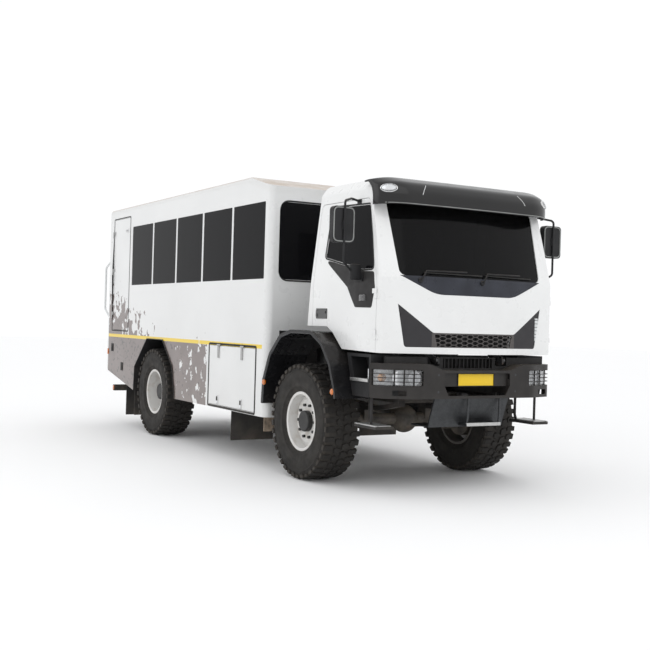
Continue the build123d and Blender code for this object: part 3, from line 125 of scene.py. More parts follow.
class Look:
    """A procedural material, built up step by step in object coordinates. Masks are 0 or 1."""

    plus = arithmetic("ADD")
    minus = arithmetic("SUBTRACT")
    times = arithmetic("MULTIPLY")
    over = arithmetic("GREATER_THAN")
    under = arithmetic("LESS_THAN")
    either = arithmetic("MAXIMUM")

    def __init__(self, name, roughness=0.5, metallic=0.0, coat=0.0, specular=0.5):
        self.material = bpy.data.materials.new(name)
        self.material.use_nodes = True
        self.tree = self.material.node_tree
        self.shader = self.tree.nodes["Principled BSDF"]
        self.set("Roughness", roughness)
        self.set("Metallic", metallic)
        self.set("Coat Weight", coat)
        self.set("Coat Roughness", 0.08)
        self.set("Specular IOR Level", specular)
        self.place = self.add("TexCoord", {})["Object"]
        self.x, self.y, self.z = self.add("SeparateXYZ", {0: self.place})

    def set(self, socket, value):
        """A constant goes on the shader's own socket."""
        self.shader.inputs[socket].default_value = value

    def feed(self, value, socket):
        """Link a socket, or write a number or the parts of a vector or colour."""
        if isinstance(value, bpy.types.NodeSocket):
            self.tree.links.new(value, socket)
        elif isinstance(value, tuple):
            socket.default_value = (*value, 1.0)[:len(socket.default_value)]
        else:
            socket.default_value = value

    def add(self, kind, inputs, **settings):
        """Add a node with its settings and inputs, and give its outputs."""
        made = self.tree.nodes.new("ShaderNode" + kind)
        for name, value in settings.items():
            setattr(made, name, value)
        for socket, value in inputs.items():
            self.feed(value, made.inputs[socket])
        return made.outputs

    def calc(self, operation, a, b=0.0):
        """One step of arithmetic."""
        return self.add("Math", {0: a, 1: b}, operation=operation)[0]

    def out(self):
        """Distance from the vehicle's middle plane."""
        return self.calc("ABSOLUTE", self.y)

    def length(self, x, z):
        """Distance from a centre."""
        return self.calc("SQRT", self.plus(self.calc("POWER", x, 2.0), self.calc("POWER", z, 2.0)))

    def wave(self, source, rate):
        return self.calc("SINE", self.times(source, rate))

    def level(self, source, low, high, to_low=0.0, to_high=1.0):
        """Source from low to high becomes to_low to to_high, held at both ends."""
        span = {"From Min": low, "From Max": high, "To Min": to_low, "To Max": to_high}
        return self.add("MapRange", {"Value": source, **span})["Result"]

    def texture(self, kind, stretch, **settings):
        """A texture over the stretched coordinates."""
        place = self.add("Mapping", {"Vector": self.place, "Scale": stretch})[0]
        return self.add(kind, {"Vector": place, **settings})

    def noise(self, scale, detail, stretch=EVEN):
        """Cloudy noise from 0 to 1."""
        return self.texture("TexNoise", stretch, Scale=scale, Detail=detail)["Fac"]

    def cells(self, scale, stretch=EVEN):
        """Distance in a pattern of cells."""
        return self.texture("TexVoronoi", stretch, Scale=scale)["Distance"]

    def blend(self, factor, a, b):
        """Colour a where factor is 0 and b where it is 1."""
        return self.add("Mix", {"Factor": factor, "A": a, "B": b}, data_type="RGBA")["Result"]

    def mottle(self, scale, detail, a, b, span=None):
        """Two colours mixed by cloudy noise, more sharply if a span of the noise is given."""
        share = self.noise(scale, detail)
        if span:
            share = self.level(share, *span)
        return self.blend(share, a, b)

    def inside(self, source, low, high):
        """1 where source lies between low and high."""
        return self.times(self.over(source, low), self.under(source, high))

    def colour(self, value):
        """Colour the surface, and keep that colour for a later step."""
        self.tone = value
        self.feed(value, self.shader.inputs["Base Color"])

    def rough(self, scale, detail, smooth, dull, span=(0.3, 0.7), stretch=EVEN):
        """Roughness that wanders from smooth to dull."""
        cloud = self.noise(scale, detail, stretch)
        self.feed(self.level(cloud, *span, smooth, dull), self.shader.inputs["Roughness"])

    def bump(self, height, distance, strength=1.0):
        """Relief of about that many metres, on top of what is there."""
        parts = {"Height": height, "Distance": distance, "Strength": strength}
        old = self.shader.inputs["Normal"]
        if old.is_linked:
            parts["Normal"] = old.links[0].from_socket
        self.feed(self.add("Bump", parts)[0], old)

    def upward(self):
        """How far the surface looks up, from 0 to 1."""
        normal = self.add("NewGeometry", {})["Normal"]
        return self.level(self.add("SeparateXYZ", {0: normal})[2], 0.35, 0.95)

    def dusted(self, colour, low, high, amount):
        """Road dust: most at the height low, none above high, patchy, and on what looks up."""
        near = self.level(self.z, low, high, amount, 0.0)
        patchy = self.level(self.noise(5.0, 6.0), 0.3, 0.75)
        lying = self.times(self.upward(), amount * 0.6)
        share = self.plus(self.times(near, patchy), lying)
        return self.blend(self.calc("MINIMUM", share, 1.0), colour, DUST)


def paint(name, tone, dirt_top, dirt):
    """Glossy vehicle paint with a faint unevenness."""
    look = Look(name, 0.28, coat=0.6)
    colour = look.mottle(1.7, 5.0, tone, shade(tone, 0.95), (0.35, 0.7))
    look.colour(look.dusted(colour, 0.5, dirt_top, dirt))
    look.rough(9.0, 6.0, 0.26, 0.32)
    look.bump(look.noise(60.0, 2.0), 0.0003, 0.05)
    return look


def side_paint():
    """White body paint with the yellow line and a plain speckled band that thins out forwards."""
    look = Look("body_side_paint", 0.3, coat=0.5)
    base = look.mottle(1.4, 5.0, BODY_WHITE, (0.70, 0.705, 0.70), (0.35, 0.7))
    waves = look.calc("SINE", look.plus(look.times(look.x, 2.1), look.z))
    below = look.under(look.z, STRIPE_Z[0])
    low = look.level(look.x, ahead(-4.0), ahead(BAND_FRONT), 1.05, 0.62)
    high = look.level(look.x, ahead(BODY_REAR), ahead(-3.4), 1.0, 0.10)
    high = look.minus(high, look.level(look.z, STRIPE_Z[1], BAND_TOP, 0.0, 0.95))
    high = look.plus(high, look.times(waves, 0.06))
    share = look.either(high, look.times(low, below))
    reach = look.under(look.x, ahead(BAND_FRONT))
    flecks = look.level(look.noise(8.5, 9.0, (1.0, 1.0, 0.75)), 0.30, 0.70)
    band = look.times(look.under(flecks, share), reach)
    tint = look.mottle(3.0, 3.0, MAUVE, MAUVE_PALE, (0.35, 0.65))
    dark = look.under(look.level(look.noise(16.0, 8.0), 0.25, 0.75), look.times(share, 0.30))
    outside = look.over(look.out(), BODY_Y - 0.006)
    colour = look.blend(look.times(band, outside), base, look.blend(dark, tint, MAUVE_DARK))
    line = look.times(look.inside(look.z, *STRIPE_Z), outside)
    line = look.times(line, look.under(look.x, ahead(STRIPE_FRONT)))
    gap = look.inside(look.x, ahead(STRIPE_GAP - 0.008), ahead(STRIPE_GAP + 0.008))
    line = look.times(line, look.minus(1.0, gap))
    tape = look.blend(look.level(look.cells(240.0), 0.1, 0.6), (0.86, 0.62, 0.004), (0.78, 0.55, 0.003))
    colour = look.blend(line, colour, tape)
    proud = look.over(look.out(), BODY_Y + 0.0015)
    steel = look.mottle(60.0, 4.0, grey(0.30), (0.46, 0.46, 0.45))
    look.colour(look.blend(proud, look.dusted(colour, 0.5, 1.0, 0.10), steel))
    look.feed(proud, look.shader.inputs["Metallic"])
    look.rough(8.0, 6.0, 0.28, 0.34)
    look.bump(look.noise(60.0, 2.0), 0.0003, 0.05)
    return look


def roof_paint():
    """White roof with beige dust lying on it."""
    look = Look("roof_paint", 0.45, coat=0.2)
    colour = look.mottle(2.0, 4.0, (0.73, 0.735, 0.73), (0.68, 0.68, 0.67))
    patch = look.level(look.noise(3.5, 8.0), 0.25, 0.62, 0.45, 0.95)
    look.colour(look.blend(look.times(look.upward(), patch), colour, (0.47, 0.38, 0.30)))
    look.rough(6.0, 6.0, 0.35, 0.65)
    look.bump(look.noise(120.0, 3.0), 0.0005, 0.15)
    return look


def cab_paint():
    """White cab paint with a black door handle in its dish, and painted shade: the cab's underside and the
    insides of its wheel arches are black.
    """
    look = paint("cab_paint", (0.80, 0.805, 0.80), 1.55, 0.10)
    handle = look.inside(look.x, ahead(HANDLE_X[0]), ahead(HANDLE_X[1]))
    dish = look.times(handle, look.inside(look.z, *HANDLE_Z))
    proud = look.over(look.out(), CAB_Y - 0.012)
    black = look.mottle(40.0, 4.0, grey(0.012), grey(0.022))
    # Painted shade: the cab's set-in faces low in the wheel arches, and everything below the underside
    # height, are coloured black.
    painted_arch_shade = look.times(look.under(look.out(), CAB_Y - 0.015), look.under(look.z, CAB_ARCH_Z))
    painted_arch_shade = look.times(painted_arch_shade, look.under(look.x, ahead(CAB_ARCH_X)))
    low = look.either(painted_arch_shade, look.under(look.z, CAB_UNDER_Z))
    look.colour(look.blend(look.either(low, look.times(dish, proud)), look.tone, black))
    return look


def end_paint():
    """White paint of the body's end walls, with painted shade: black low down between the wheels."""
    look = paint("body_end_paint", BODY_WHITE, 1.2, 0.10)
    # Painted shade: low down between the front wheels, the front wall is coloured black.
    low = look.times(look.under(look.out(), 1.04), look.under(look.z, 1.50))
    low = look.times(low, look.over(look.x, 0.0))
    black = look.mottle(20.0, 4.0, grey(0.012), (0.025, 0.024, 0.023))
    look.colour(look.blend(low, look.tone, black))
    return look


def metal_paint(name, tone, dust_top, dust, roughness):
    """Painted or cast steel under the vehicle, with dust, some rust and darker pits."""
    look = Look(name, roughness)
    colour = look.mottle(38.0, 8.0, tone, shade(tone, 0.6), (0.35, 0.65))
    rust = look.level(look.noise(7.0, 8.0), 0.60, 0.74, 0.0, 0.5)
    colour = look.blend(rust, colour, (0.11, 0.055, 0.03))
    look.colour(look.dusted(colour, 0.2, dust_top, dust))
    look.rough(22.0, 6.0, roughness - 0.1, roughness + 0.2)
    look.bump(look.noise(240.0, 5.0), 0.0012, 0.35)
    return look


def moulded(name, tone, roughness, grain=420.0, dirt_top=1.0, dirt=0.2):
    """Moulded plastic or rubber with a fine grain."""
    look = Look(name, roughness, specular=0.25)
    colour = look.mottle(6.0, 6.0, tone, shade(tone, 1.5), (0.3, 0.7))
    look.colour(look.dusted(colour, 0.3, dirt_top, dirt))
    look.rough(14.0, 5.0, roughness - 0.06, roughness + 0.14)
    look.bump(look.cells(grain), 0.0006, 0.35)
    return look


def tyre_rubber():
    """Rubber with rings on its wall and dust in its tread, in the tyre's own coordinates."""
    look = Look("tyre_wall_rubber", 0.75, specular=0.25)
    radius = look.length(look.x, look.z)
    black = look.mottle(24.0, 6.0, (0.014, 0.0135, 0.013), (0.030, 0.028, 0.026))
    wall = look.inside(radius, 0.31, 0.545)
    dusty = look.level(look.noise(6.0, 8.0), 0.30, 0.68)
    dusty = look.times(dusty, look.level(radius, 0.30, 0.58, 0.55, 0.25))
    low = look.level(radius, TREAD_BASE - 0.004, TREAD_BASE + 0.006, 0.20, 0.0)
    low = look.times(low, look.minus(1.0, wall))
    look.colour(look.blend(look.either(look.times(dusty, 0.22), low), black, (0.16, 0.135, 0.11)))
    rings = look.wave(radius, 900.0)
    look.bump(look.times(rings, look.inside(radius, 0.318, 0.360)), 0.0022, 0.6)
    look.bump(look.noise(190.0, 5.0), 0.001, 0.4)
    look.rough(10.0, 5.0, 0.62, 0.88)
    return look


def rim_paint(name, centre_x, disc_y):
    """Pale wheel paint; nuts and hub, picked out by their distance from the wheel's middle, are dark; the
    rim's inner side is dark with painted shade.
    """
    look = Look(name, 0.35, coat=0.05, specular=0.3)
    radius = look.length(look.minus(look.x, ahead(centre_x)), look.minus(look.z, TYRE_R))
    out = look.out()
    pale = look.mottle(5.0, 6.0, (0.74, 0.735, 0.72), (0.60, 0.585, 0.56))
    pale = look.blend(look.level(look.noise(11.0, 7.0), 0.52, 0.75, 0.0, 0.5), pale, DUST)
    front = look.over(out, disc_y + 0.001)
    hub = look.times(front, look.under(radius, HUB_R))
    nuts = look.times(front, look.inside(radius, *NUT_RING))
    # Painted shade: the rim more than 46 mm inward of the disc is coloured dark.
    inner = look.under(out, disc_y - 0.046)
    colour = look.blend(hub, pale, look.mottle(30.0, 5.0, grey(0.012), (0.028, 0.027, 0.026)))
    colour = look.blend(nuts, colour, (0.030, 0.030, 0.029))
    look.colour(look.blend(inner, colour, (0.10, 0.09, 0.08)))
    look.rough(15.0, 6.0, 0.28, 0.5)
    look.bump(look.noise(130.0, 5.0), 0.0006, 0.3)
    return look


def cab_black():
    """Black front trim: brown-grey honeycomb, satin wings and a pale lamp column at the left end."""
    look = Look("grille_plastic", 0.5, specular=0.3)
    wing = look.mottle(5.0, 6.0, (0.026, 0.025, 0.028), (0.036, 0.034, 0.037))
    comb = look.mottle(30.0, 6.0, (0.060, 0.054, 0.053), (0.115, 0.105, 0.102))
    middle = look.times(look.under(look.out(), MESH_Y), look.inside(look.z, *MESH_Z))
    column = look.times(look.inside(look.y, *COLUMN_Y), look.inside(look.z, *COLUMN_Z))
    bars = look.over(look.wave(look.z, 180.0), 0.86)
    pale = look.blend(bars, (0.66, 0.68, 0.68), grey(0.10))
    look.colour(look.blend(column, look.blend(middle, wing, comb), pale))
    look.rough(14.0, 5.0, 0.42, 0.6)
    look.bump(look.cells(500.0), 0.0005, 0.3)
    return look


def glazing(name, tint, clear, gloss):
    """Dark or clear glass with faint streaks in its gloss."""
    look = Look(name, 0.03, specular=gloss)
    look.set("Transmission Weight", clear)
    look.set("IOR", 1.22)
    look.colour(look.mottle(2.5, 5.0, tint, shade(tint, 1.3)))
    look.rough(7.0, 6.0, 0.02, 0.09, (0.35, 0.75), (1.0, 1.0, 0.3))
    return look


def smoked():
    """Glossy smoked plastic of the visor."""
    look = Look("smoked_plastic", 0.16, coat=0.15, specular=0.35)
    look.colour(look.mottle(3.0, 4.0, (0.005, 0.005, 0.0055), (0.012, 0.0115, 0.011)))
    look.rough(9.0, 6.0, 0.12, 0.26)
    look.bump(look.noise(90.0, 2.0), 0.0003, 0.1)
    return look


def fabric():
    """Woven seat cloth with a soft sheen."""
    look = Look("seat_weave", 0.9)
    look.set("Sheen Weight", 0.4)
    threads = 1100.0
    weave = look.times(look.wave(look.y, threads), look.wave(look.plus(look.x, look.z), threads))
    colour = look.mottle(6.0, 4.0, (0.075, 0.08, 0.09), (0.11, 0.115, 0.125), (0.3, 0.7))
    look.colour(look.blend(look.level(weave, -1.0, 1.0, 0.0, 0.22), colour, (0.13, 0.135, 0.14)))
    look.bump(weave, 0.0008, 0.5)
    look.rough(20.0, 4.0, 0.8, 0.95)
    return look


def chequer(name, tone):
    """Bright tread plate with raised bars, worn in patches."""
    look = Look(name, 0.4, metallic=0.9)
    bars = look.cells(46.0, (1.0, 2.2, 1.0))
    look.colour(look.mottle(18.0, 7.0, tone, shade(tone, 0.62)))
    look.bump(look.level(bars, 0.15, 0.4, 1.0, 0.0), 0.002, 0.6)
    look.rough(30.0, 6.0, 0.3, 0.6)
    return look


def flooring():
    """Grey speckled floor covering."""
    look = Look("floor_covering", 0.7)
    specks = look.level(look.cells(150.0), 0.12, 0.3)
    look.colour(look.blend(specks, (0.34, 0.33, 0.31), grey(0.13)))
    look.rough(9.0, 5.0, 0.6, 0.85)
    look.bump(specks, 0.0005, 0.3)
    return look


def mud_flap():
    """Black rubber; the small flap behind the front wheel is beige with dried mud."""
    look = Look("flap_rubber_dusty", 0.85)
    front = look.over(look.x, ahead(-1.0))
    mud = look.level(look.noise(9.0, 8.0), 0.30, 0.62)
    black = look.mottle(12.0, 6.0, (0.016, 0.016, 0.017), (0.034, 0.033, 0.032))
    black = look.dusted(black, 0.1, 0.6, 0.25)
    look.colour(look.blend(look.times(front, mud), black, (0.46, 0.36, 0.27)))
    look.bump(look.noise(80.0, 6.0), 0.0012, 0.4)
    return look


def lens(name, tone, clear):
    """Moulded lamp lens with fine ribs."""
    look = Look(name, 0.08, coat=0.6)
    look.set("Transmission Weight", clear)
    look.set("IOR", 1.49)
    look.colour(look.mottle(8.0, 3.0, tone, shade(tone, 0.86)))
    look.bump(look.wave(look.y, 520.0), 0.0006, 0.4)
    return look


def chrome():
    """Bright plated metal, a little dusty."""
    look = Look("bright_plating", 0.12, metallic=1.0)
    look.colour(look.mottle(20.0, 6.0, (0.80, 0.81, 0.82), (0.62, 0.61, 0.60), (0.4, 0.7)))
    look.rough(30.0, 5.0, 0.08, 0.24)
    return look


def reflector():
    """Silvered inside of a lamp, with painted reflection: a near-white, mostly diffuse colour stands in for
    its bright mirror gleam.
    """
    look = Look("lamp_reflector", 0.25, metallic=0.2)
    # Painted reflection: near-white colour in place of the bright reflections of silver.
    look.colour(look.mottle(24.0, 4.0, (0.93, 0.94, 0.95), (0.80, 0.81, 0.83)))
    look.rough(30.0, 5.0, 0.18, 0.38)
    return look


def plate_yellow():
    """Blank reflective yellow plate."""
    look = Look("blank_plate", 0.35)
    look.colour(look.blend(look.cells(300.0), (0.88, 0.60, 0.01), (0.74, 0.48, 0.01)))
    look.bump(look.cells(300.0), 0.0003, 0.3)
    return look


def pale_floor():
    """Plain pale studio floor."""
    look = Look("studio_floor", 0.85, specular=0.2)
    look.colour(look.mottle(0.4, 3.0, grey(0.975), grey(0.96)))
    look.bump(look.noise(20.0, 4.0), 0.001, 0.05)
    return look


LOOKS = {
    "cab": cab_paint(),
    "side": side_paint(),
    "roof": roof_paint(),
    "wall": end_paint(),
    "frame": metal_paint("chassis_black", (0.028, 0.028, 0.030), 1.1, 0.45, 0.5),
    "cast": metal_paint("cast_steel", (0.060, 0.056, 0.052), 1.0, 0.6, 0.6),
    "rubber": tyre_rubber(),
    "plastic": moulded("black_plastic", (0.016, 0.016, 0.017), 0.48),
    "trim": moulded("trim_plastic", (0.024, 0.023, 0.023), 0.55, 500.0),
    "grille": cab_black(),
    "cowl": moulded("cowl_plastic", (0.024, 0.026, 0.034), 0.30, 500.0, 0.5, 0.0),
    # Painted highlight: pale grey for the rounded edges of the black mirror heads and of the visor's lower
    # edge.
    "pale_highlight_trim": moulded("pale_highlight_trim_plastic", (0.20, 0.205, 0.20), 0.45, 500.0, 0.5, 0.0),
    "gloss": moulded("mudguard_plastic", (0.010, 0.010, 0.011), 0.20, 250.0, 1.0, 0.08),
    # Painted highlight: the mudguard bead is a bluish grey, lighter than the black mudguard.
    "lip_highlight": moulded("mudguard_lip_plastic", (0.055, 0.057, 0.060), 0.24, 250.0, 0.5, 0.0),
    "bumper": moulded("bumper_paint", (0.022, 0.020, 0.019), 0.34, 700.0, 1.0, 0.15),
    "seal": moulded("rubber_seal", grey(0.020), 0.6, 500.0),
    "flap": mud_flap(),
    "glass": glazing("dark_glass", (0.007, 0.007, 0.008), 0.30, 0.13),
    "cab_glass": glazing("cab_glass_tint", (0.020, 0.020, 0.021), 0.80, 0.05),
    "clear": lens("clear_lens", (0.95, 0.96, 0.97), 0.96),
    "amber": lens("amber_lens", (0.90, 0.24, 0.02), 0.35),
    "pale_amber": lens("pale_amber_lens", (0.93, 0.62, 0.42), 0.6),
    "red": lens("red_lens", (0.55, 0.012, 0.010), 0.35),
    "chrome": chrome(),
    "smoked": smoked(),
    "fabric": fabric(),
    "tread": chequer("step_tread", (0.66, 0.66, 0.65)),
    "guard": chequer("guard_plate", (0.085, 0.088, 0.092)),
    "sheet": metal_paint("locker_sheet", grey(0.16), 1.0, 0.5, 0.5),
    "floor": flooring(),
    "handrail": paint("handrail_paint", (0.66, 0.67, 0.67), 0.6, 0.0),
    "plate": plate_yellow(),
    "reflector": reflector(),
}
MATERIALS = {key: look.material for key, look in LOOKS.items()}
MATERIALS["strip"] = MATERIALS["seal"]
MATERIALS["mirror"] = MATERIALS["chrome"]

DRESS = {
    "frame": "chassis_frame leaf_springs fuel_tank rear_beam",
    "cast": "driveline front_axle rear_axle knuckle_left knuckle_right tie_rod",
    "side": "body_side_left body_side_right rear_door_left rear_door_right locker_door_left "
            "locker_door_right",
    "roof": "body_roof",
    "wall": "body_front_wall body_rear_wall",
    "floor": "body_floor",
    "sheet": "luggage_lockers tail_boxes",
    "glass": "body_glass door_glass_left door_glass_right",
    "cab_glass": "cab_glass",
    "plastic": "rear_arch_liners cab_steps dashboard mirror_left mirror_right",
    "trim": "lower_grille",
    "grille": "cab_grille",
    "cowl": "wiper_cowl",
    "gloss": "front_mudguards",
    "bumper": "front_bumper",
    "handrail": "handrails",
    "cab": "cab_shell cab_front_panel cab_door_left cab_door_right",
    "guard": "underguard",
    "flap": "mudflaps",
    "clear": "headlamps",
}


def dress(name, material):
    """Give one solid of the frame its finish."""
    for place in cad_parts[name].material_slots:
        place.material = material


def dress_cad():
    """Give every solid of the frame its finish."""
    for key, names in DRESS.items():
        for name in names.split():
            dress(name, MATERIALS[key])
    for end, centre, disc in (("front", 0.0, 1.066), ("rear", -WHEELBASE, 0.970)):
        finish = rim_paint(f"{end}_rim_paint", centre, disc).material
        for side in SIDES:
            dress(f"{end}_rim_{side}", finish)


# Mesh tools


def linked(name, data):
    """A new object in the scene."""
    obj = bpy.data.objects.new(name, data)
    bpy.context.scene.collection.objects.link(obj)
    return obj


def piece(name, mesh, key, body="chassis", centre=(0.0, 0.0, 0.0)):
    """Put a mesh in the scene with its material, on its body."""
    obj = linked(name, mesh)
    obj.location = centre
    if not mesh.materials:
        mesh.materials.append(MATERIALS[key])
    mesh.shade_smooth()
    mesh.set_sharp_from_angle(angle=math.radians(32))
    bpy.context.view_layer.update()
    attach(obj, body)
    return obj


def from_lists(points, faces):
    """A mesh from its corners and faces."""
    mesh = bpy.data.meshes.new("made")
    mesh.from_pydata([tuple(p) for p in points], [], faces)
    mesh.update()
    return mesh


def from_bmesh(work):
    """A mesh from a finished bmesh, with its normals turned outward."""
    bmesh.ops.recalc_face_normals(work, faces=work.faces)
    mesh = bpy.data.meshes.new("made")
    work.to_mesh(mesh)
    work.free()
    return mesh


def solid(points, faces):
    """A closed mesh from its corners and faces."""
    work = bmesh.new()
    work.from_mesh(from_lists(points, faces))
    return from_bmesh(work)


def bands(rings, count, closed=False, first=0):
    """Faces between rings of count corners each, numbered from first on."""
    faces = []
    for i in range(rings if closed else rings - 1):
        a = first + i * count
        b = first + (i + 1) % rings * count
        for k in range(count):
            m = (k + 1) % count
            faces.append((a + k, a + m, b + m, b + k))
    return faces


def tube(rings, count):
    """Faces over a row of rings of count corners each, with both ends closed."""
    last = (rings - 1) * count
    return bands(rings, count) + [tuple(range(count)), tuple(reversed(range(last, last + count)))]


def circle(steps):
    """Cosine and sine of evenly spaced angles."""
    angles = [2 * math.pi * i / steps for i in range(steps)]
    return [(math.cos(angle), math.sin(angle)) for angle in angles]


def add_rings(work, rings):
    """Add a skin over rings of points, with both ends closed."""
    rings = [[work.verts.new(spot) for spot in ring] for ring in rings]
    for low, high in zip(rings, rings[1:]):
        for i in range(len(low)):
            j = (i + 1) % len(low)
            work.faces.new((low[i], low[j], high[j], high[i]))
    work.faces.new(rings[0][::-1])
    work.faces.new(rings[-1])


def add_block(work, middle, size, edge):
    """Add a block with rounded edges."""
    made = bmesh.ops.create_cube(work, size=1.0)["verts"]
    grow = Matrix.Diagonal((*size, 1.0))
    bmesh.ops.transform(work, matrix=Matrix.Translation(middle) @ grow, verts=made)
    edges = list({e for v in made for e in v.link_edges})
    bmesh.ops.bevel(work, geom=edges, offset=edge, segments=2, profile=0.5, affect="EDGES")


def add_turned(work, profile, middle, axis, steps=24):
    """Add a turned shape: profile is (radius, distance along axis) from one end to the other."""
    axis = Vector(axis).normalized()
    side = axis.orthogonal().normalized()
    up = axis.cross(side)
    rings = []
    for radius, along in profile:
        centre = Vector(middle) + axis * along
        rings.append([centre + (side * c + up * s) * max(radius, 1e-5) for c, s in circle(steps)])
    add_rings(work, rings)


def blocks(name, parts, key, body="chassis"):
    """One piece of rounded blocks, each given by its middle, its size and the radius of its edges."""
    work = bmesh.new()
    for middle, size, edge in parts:
        add_block(work, middle, size, edge)
    piece(name, from_bmesh(work), key, body)


def turned(name, profile, places, key, body="chassis", steps=24):
    """One piece of like turned shapes, each given by its middle and its axis."""
    work = bmesh.new()
    for middle, axis in places:
        add_turned(work, profile, middle, axis, steps)
    piece(name, from_bmesh(work), key, body)


def rounded(points, radius, closed=True, steps=6):
    """Corner points of an outline made into a line with round corners."""
    count = len(points)
    line = []
    for i, here in enumerate(points):
        here = Vector(here)
        if not closed and i in (0, count - 1):
            line.append(here)
            continue
        before = Vector(points[i - 1])
        after = Vector(points[(i + 1) % count])
        a = (before - here).normalized()
        b = (after - here).normalized()
        reach = radius / math.tan(max(a.angle(b), 0.05) / 2)
        reach = min(reach, (before - here).length * 0.49, (after - here).length * 0.49)
        start, end = here + a * reach, here + b * reach
        for k in range(steps + 1):
            t = k / steps
            line.append(start * (1 - t) ** 2 + here * 2 * t * (1 - t) + end * t ** 2)
    return line


def outline(x, y, z, radius):
    """A round-cornered upright rectangle between two corners."""
    corners = [at(x[0], y[0], z[0]), at(x[1], y[1], z[0]), at(x[1], y[1], z[1]), at(x[0], y[0], z[1])]
    return rounded(corners, radius)


def widen(span, amount):
    return (span[0] - amount, span[1] + amount)


def surface_of(*names):
    """A search tree over some solids of the frame."""
    points, faces = [], []
    for name in names:
        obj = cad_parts[name]
        first = len(points)
        points += [obj.matrix_world @ v.co for v in obj.data.vertices]
        faces += [[first + i for i in p.vertices] for p in obj.data.polygons]
    return BVHTree.FromPolygons(points, faces)


def dropped(tree, spot, inward):
    """Where a line from outside meets the surface, and the outward normal there."""
    hit, normal, _, _ = tree.ray_cast(spot - inward * 0.6, inward, 1.2)
    if hit is None:
        hit, normal, _, _ = tree.find_nearest(spot)
    if normal.dot(inward) > 0:
        normal = -normal
    return hit, normal


def split_line(points, step, closed):
    """Points along a line no further apart than step."""
    ends = list(points) + ([points[0]] if closed else [])
    line = []
    for a, b in zip(ends, ends[1:]):
        parts = max(1, math.ceil((b - a).length / step))
        line += [a.lerp(b, k / parts) for k in range(parts)]
    if not closed:
        line.append(ends[-1])
    return line


def strip_on(name, tree, points, inward, width, height, key, body, closed=True, step=0.06):
    """A low crowned strip, such as a seal or a joint, laid along points on a surface."""
    inward = Vector(inward).normalized()
    line = split_line(points, step, closed)
    count = len(line)
    corners = []
    for i, spot in enumerate(line):
        before = line[i - 1] if closed or i > 0 else spot
        after = line[(i + 1) % count] if closed or i < count - 1 else spot
        tangent = (after - before).normalized()
        across = inward.cross(tangent).normalized()
        for share, lift in ((-0.5, -0.001), (-0.36, height), (0.36, height), (0.5, -0.001)):
            hit, normal = dropped(tree, spot + across * width * share, inward)
            corners.append(hit + normal * lift)
    faces = bands(count, 4, True) if closed else tube(count, 4)
    piece(name, solid(corners, faces), key, body)


def seal(name, tree, line, inward, width, height, body="chassis", step=0.06):
    """A closed rubber seal along a line on a surface."""
    strip_on(name, tree, line, inward, width, height, "strip", body, step=step)


def panel_on(name, tree, points, inward, height, key, body):
    """A thin flat panel with a chamfered edge laid on a nearly flat surface."""
    inward = Vector(inward).normalized()
    hits = [dropped(tree, spot, inward) for spot in points]
    middle = sum((hit for hit, _ in hits), Vector()) / len(hits)
    low = [hit - normal * 0.001 for hit, normal in hits]
    mid = [hit + normal * height * 0.5 for hit, normal in hits]
    top = [hit + normal * height + (middle - hit).normalized() * height for hit, normal in hits]
    piece(name, solid(low + mid + top, tube(3, len(points))), key, body)


def wire(name, lines, radius, key, body="chassis"):
    """Round wires or bars along lines of points."""
    curve = bpy.data.curves.new(name, "CURVE")
    curve.dimensions = "3D"
    curve.bevel_depth = radius
    curve.bevel_resolution = 3
    curve.use_fill_caps = True
    for line in lines:
        spline = curve.splines.new("POLY")
        spline.points.add(len(line) - 1)
        for spot, point in zip(line, spline.points):
            point.co = (*spot, 1.0)
    curve.materials.append(MATERIALS[key])
    obj = linked(name, curve)
    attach(obj, body)


# Tyres


def casing():
    """Closed outer skin of the tyre with its rim protector, wall rings and shoulder step."""
    half = [(0.286, 0.110), (0.286, 0.149), (0.303, 0.151), (0.309, 0.163), (0.318, 0.168), (0.330, 0.176),
            (0.350, 0.184), (0.353, 0.187), (0.368, 0.189), (0.371, 0.188), (0.400, 0.1935), (0.440, 0.1955),
            (0.470, 0.1955), (0.500, 0.1925), (0.503, 0.1945), (0.512, 0.194), (0.515, 0.190), (0.535, 0.186),
            (0.556, 0.178), (0.567, 0.164), (TREAD_BASE, 0.140), (TREAD_BASE + 0.003, 0.060)]
    profile = half + [(r, -y) for r, y in reversed(half)]
    steps = 112
    points = [Vector((r * c, y, r * s)) for c, s in circle(steps) for r, y in profile]
    return points, bands(steps, len(profile), True)


def on_crown(angle, y, height):
    """A point on the tread: height is the radius at the middle, a little less at the edges."""
    radius = height - 0.16 * y * y
    return Vector((radius * math.cos(angle), y, radius * math.sin(angle)))


def on_wall(side):
    """Points on one tyre wall: height is the distance from the tyre's middle."""
    def place(angle, radius, height):
        return Vector((radius * math.cos(angle), side * height, radius * math.sin(angle)))
    return place


def add_lug(points, faces, corners, low, high, place, draw):
    """Add one tread block with sloping sides and a small chamfer."""
    first = len(points)
    count = len(corners)
    mid_a = sum(a for a, _ in corners) / count
    mid_b = sum(b for _, b in corners) / count
    for share, height in ((0.0, low), (draw * 0.5, high - 0.003), (draw, high)):
        points += [place(a + (mid_a - a) * share, b + (mid_b - b) * share, height) for a, b in corners]
    faces += bands(3, count, first=first)
    faces.append(tuple(first + 2 * count + i for i in range(count)))


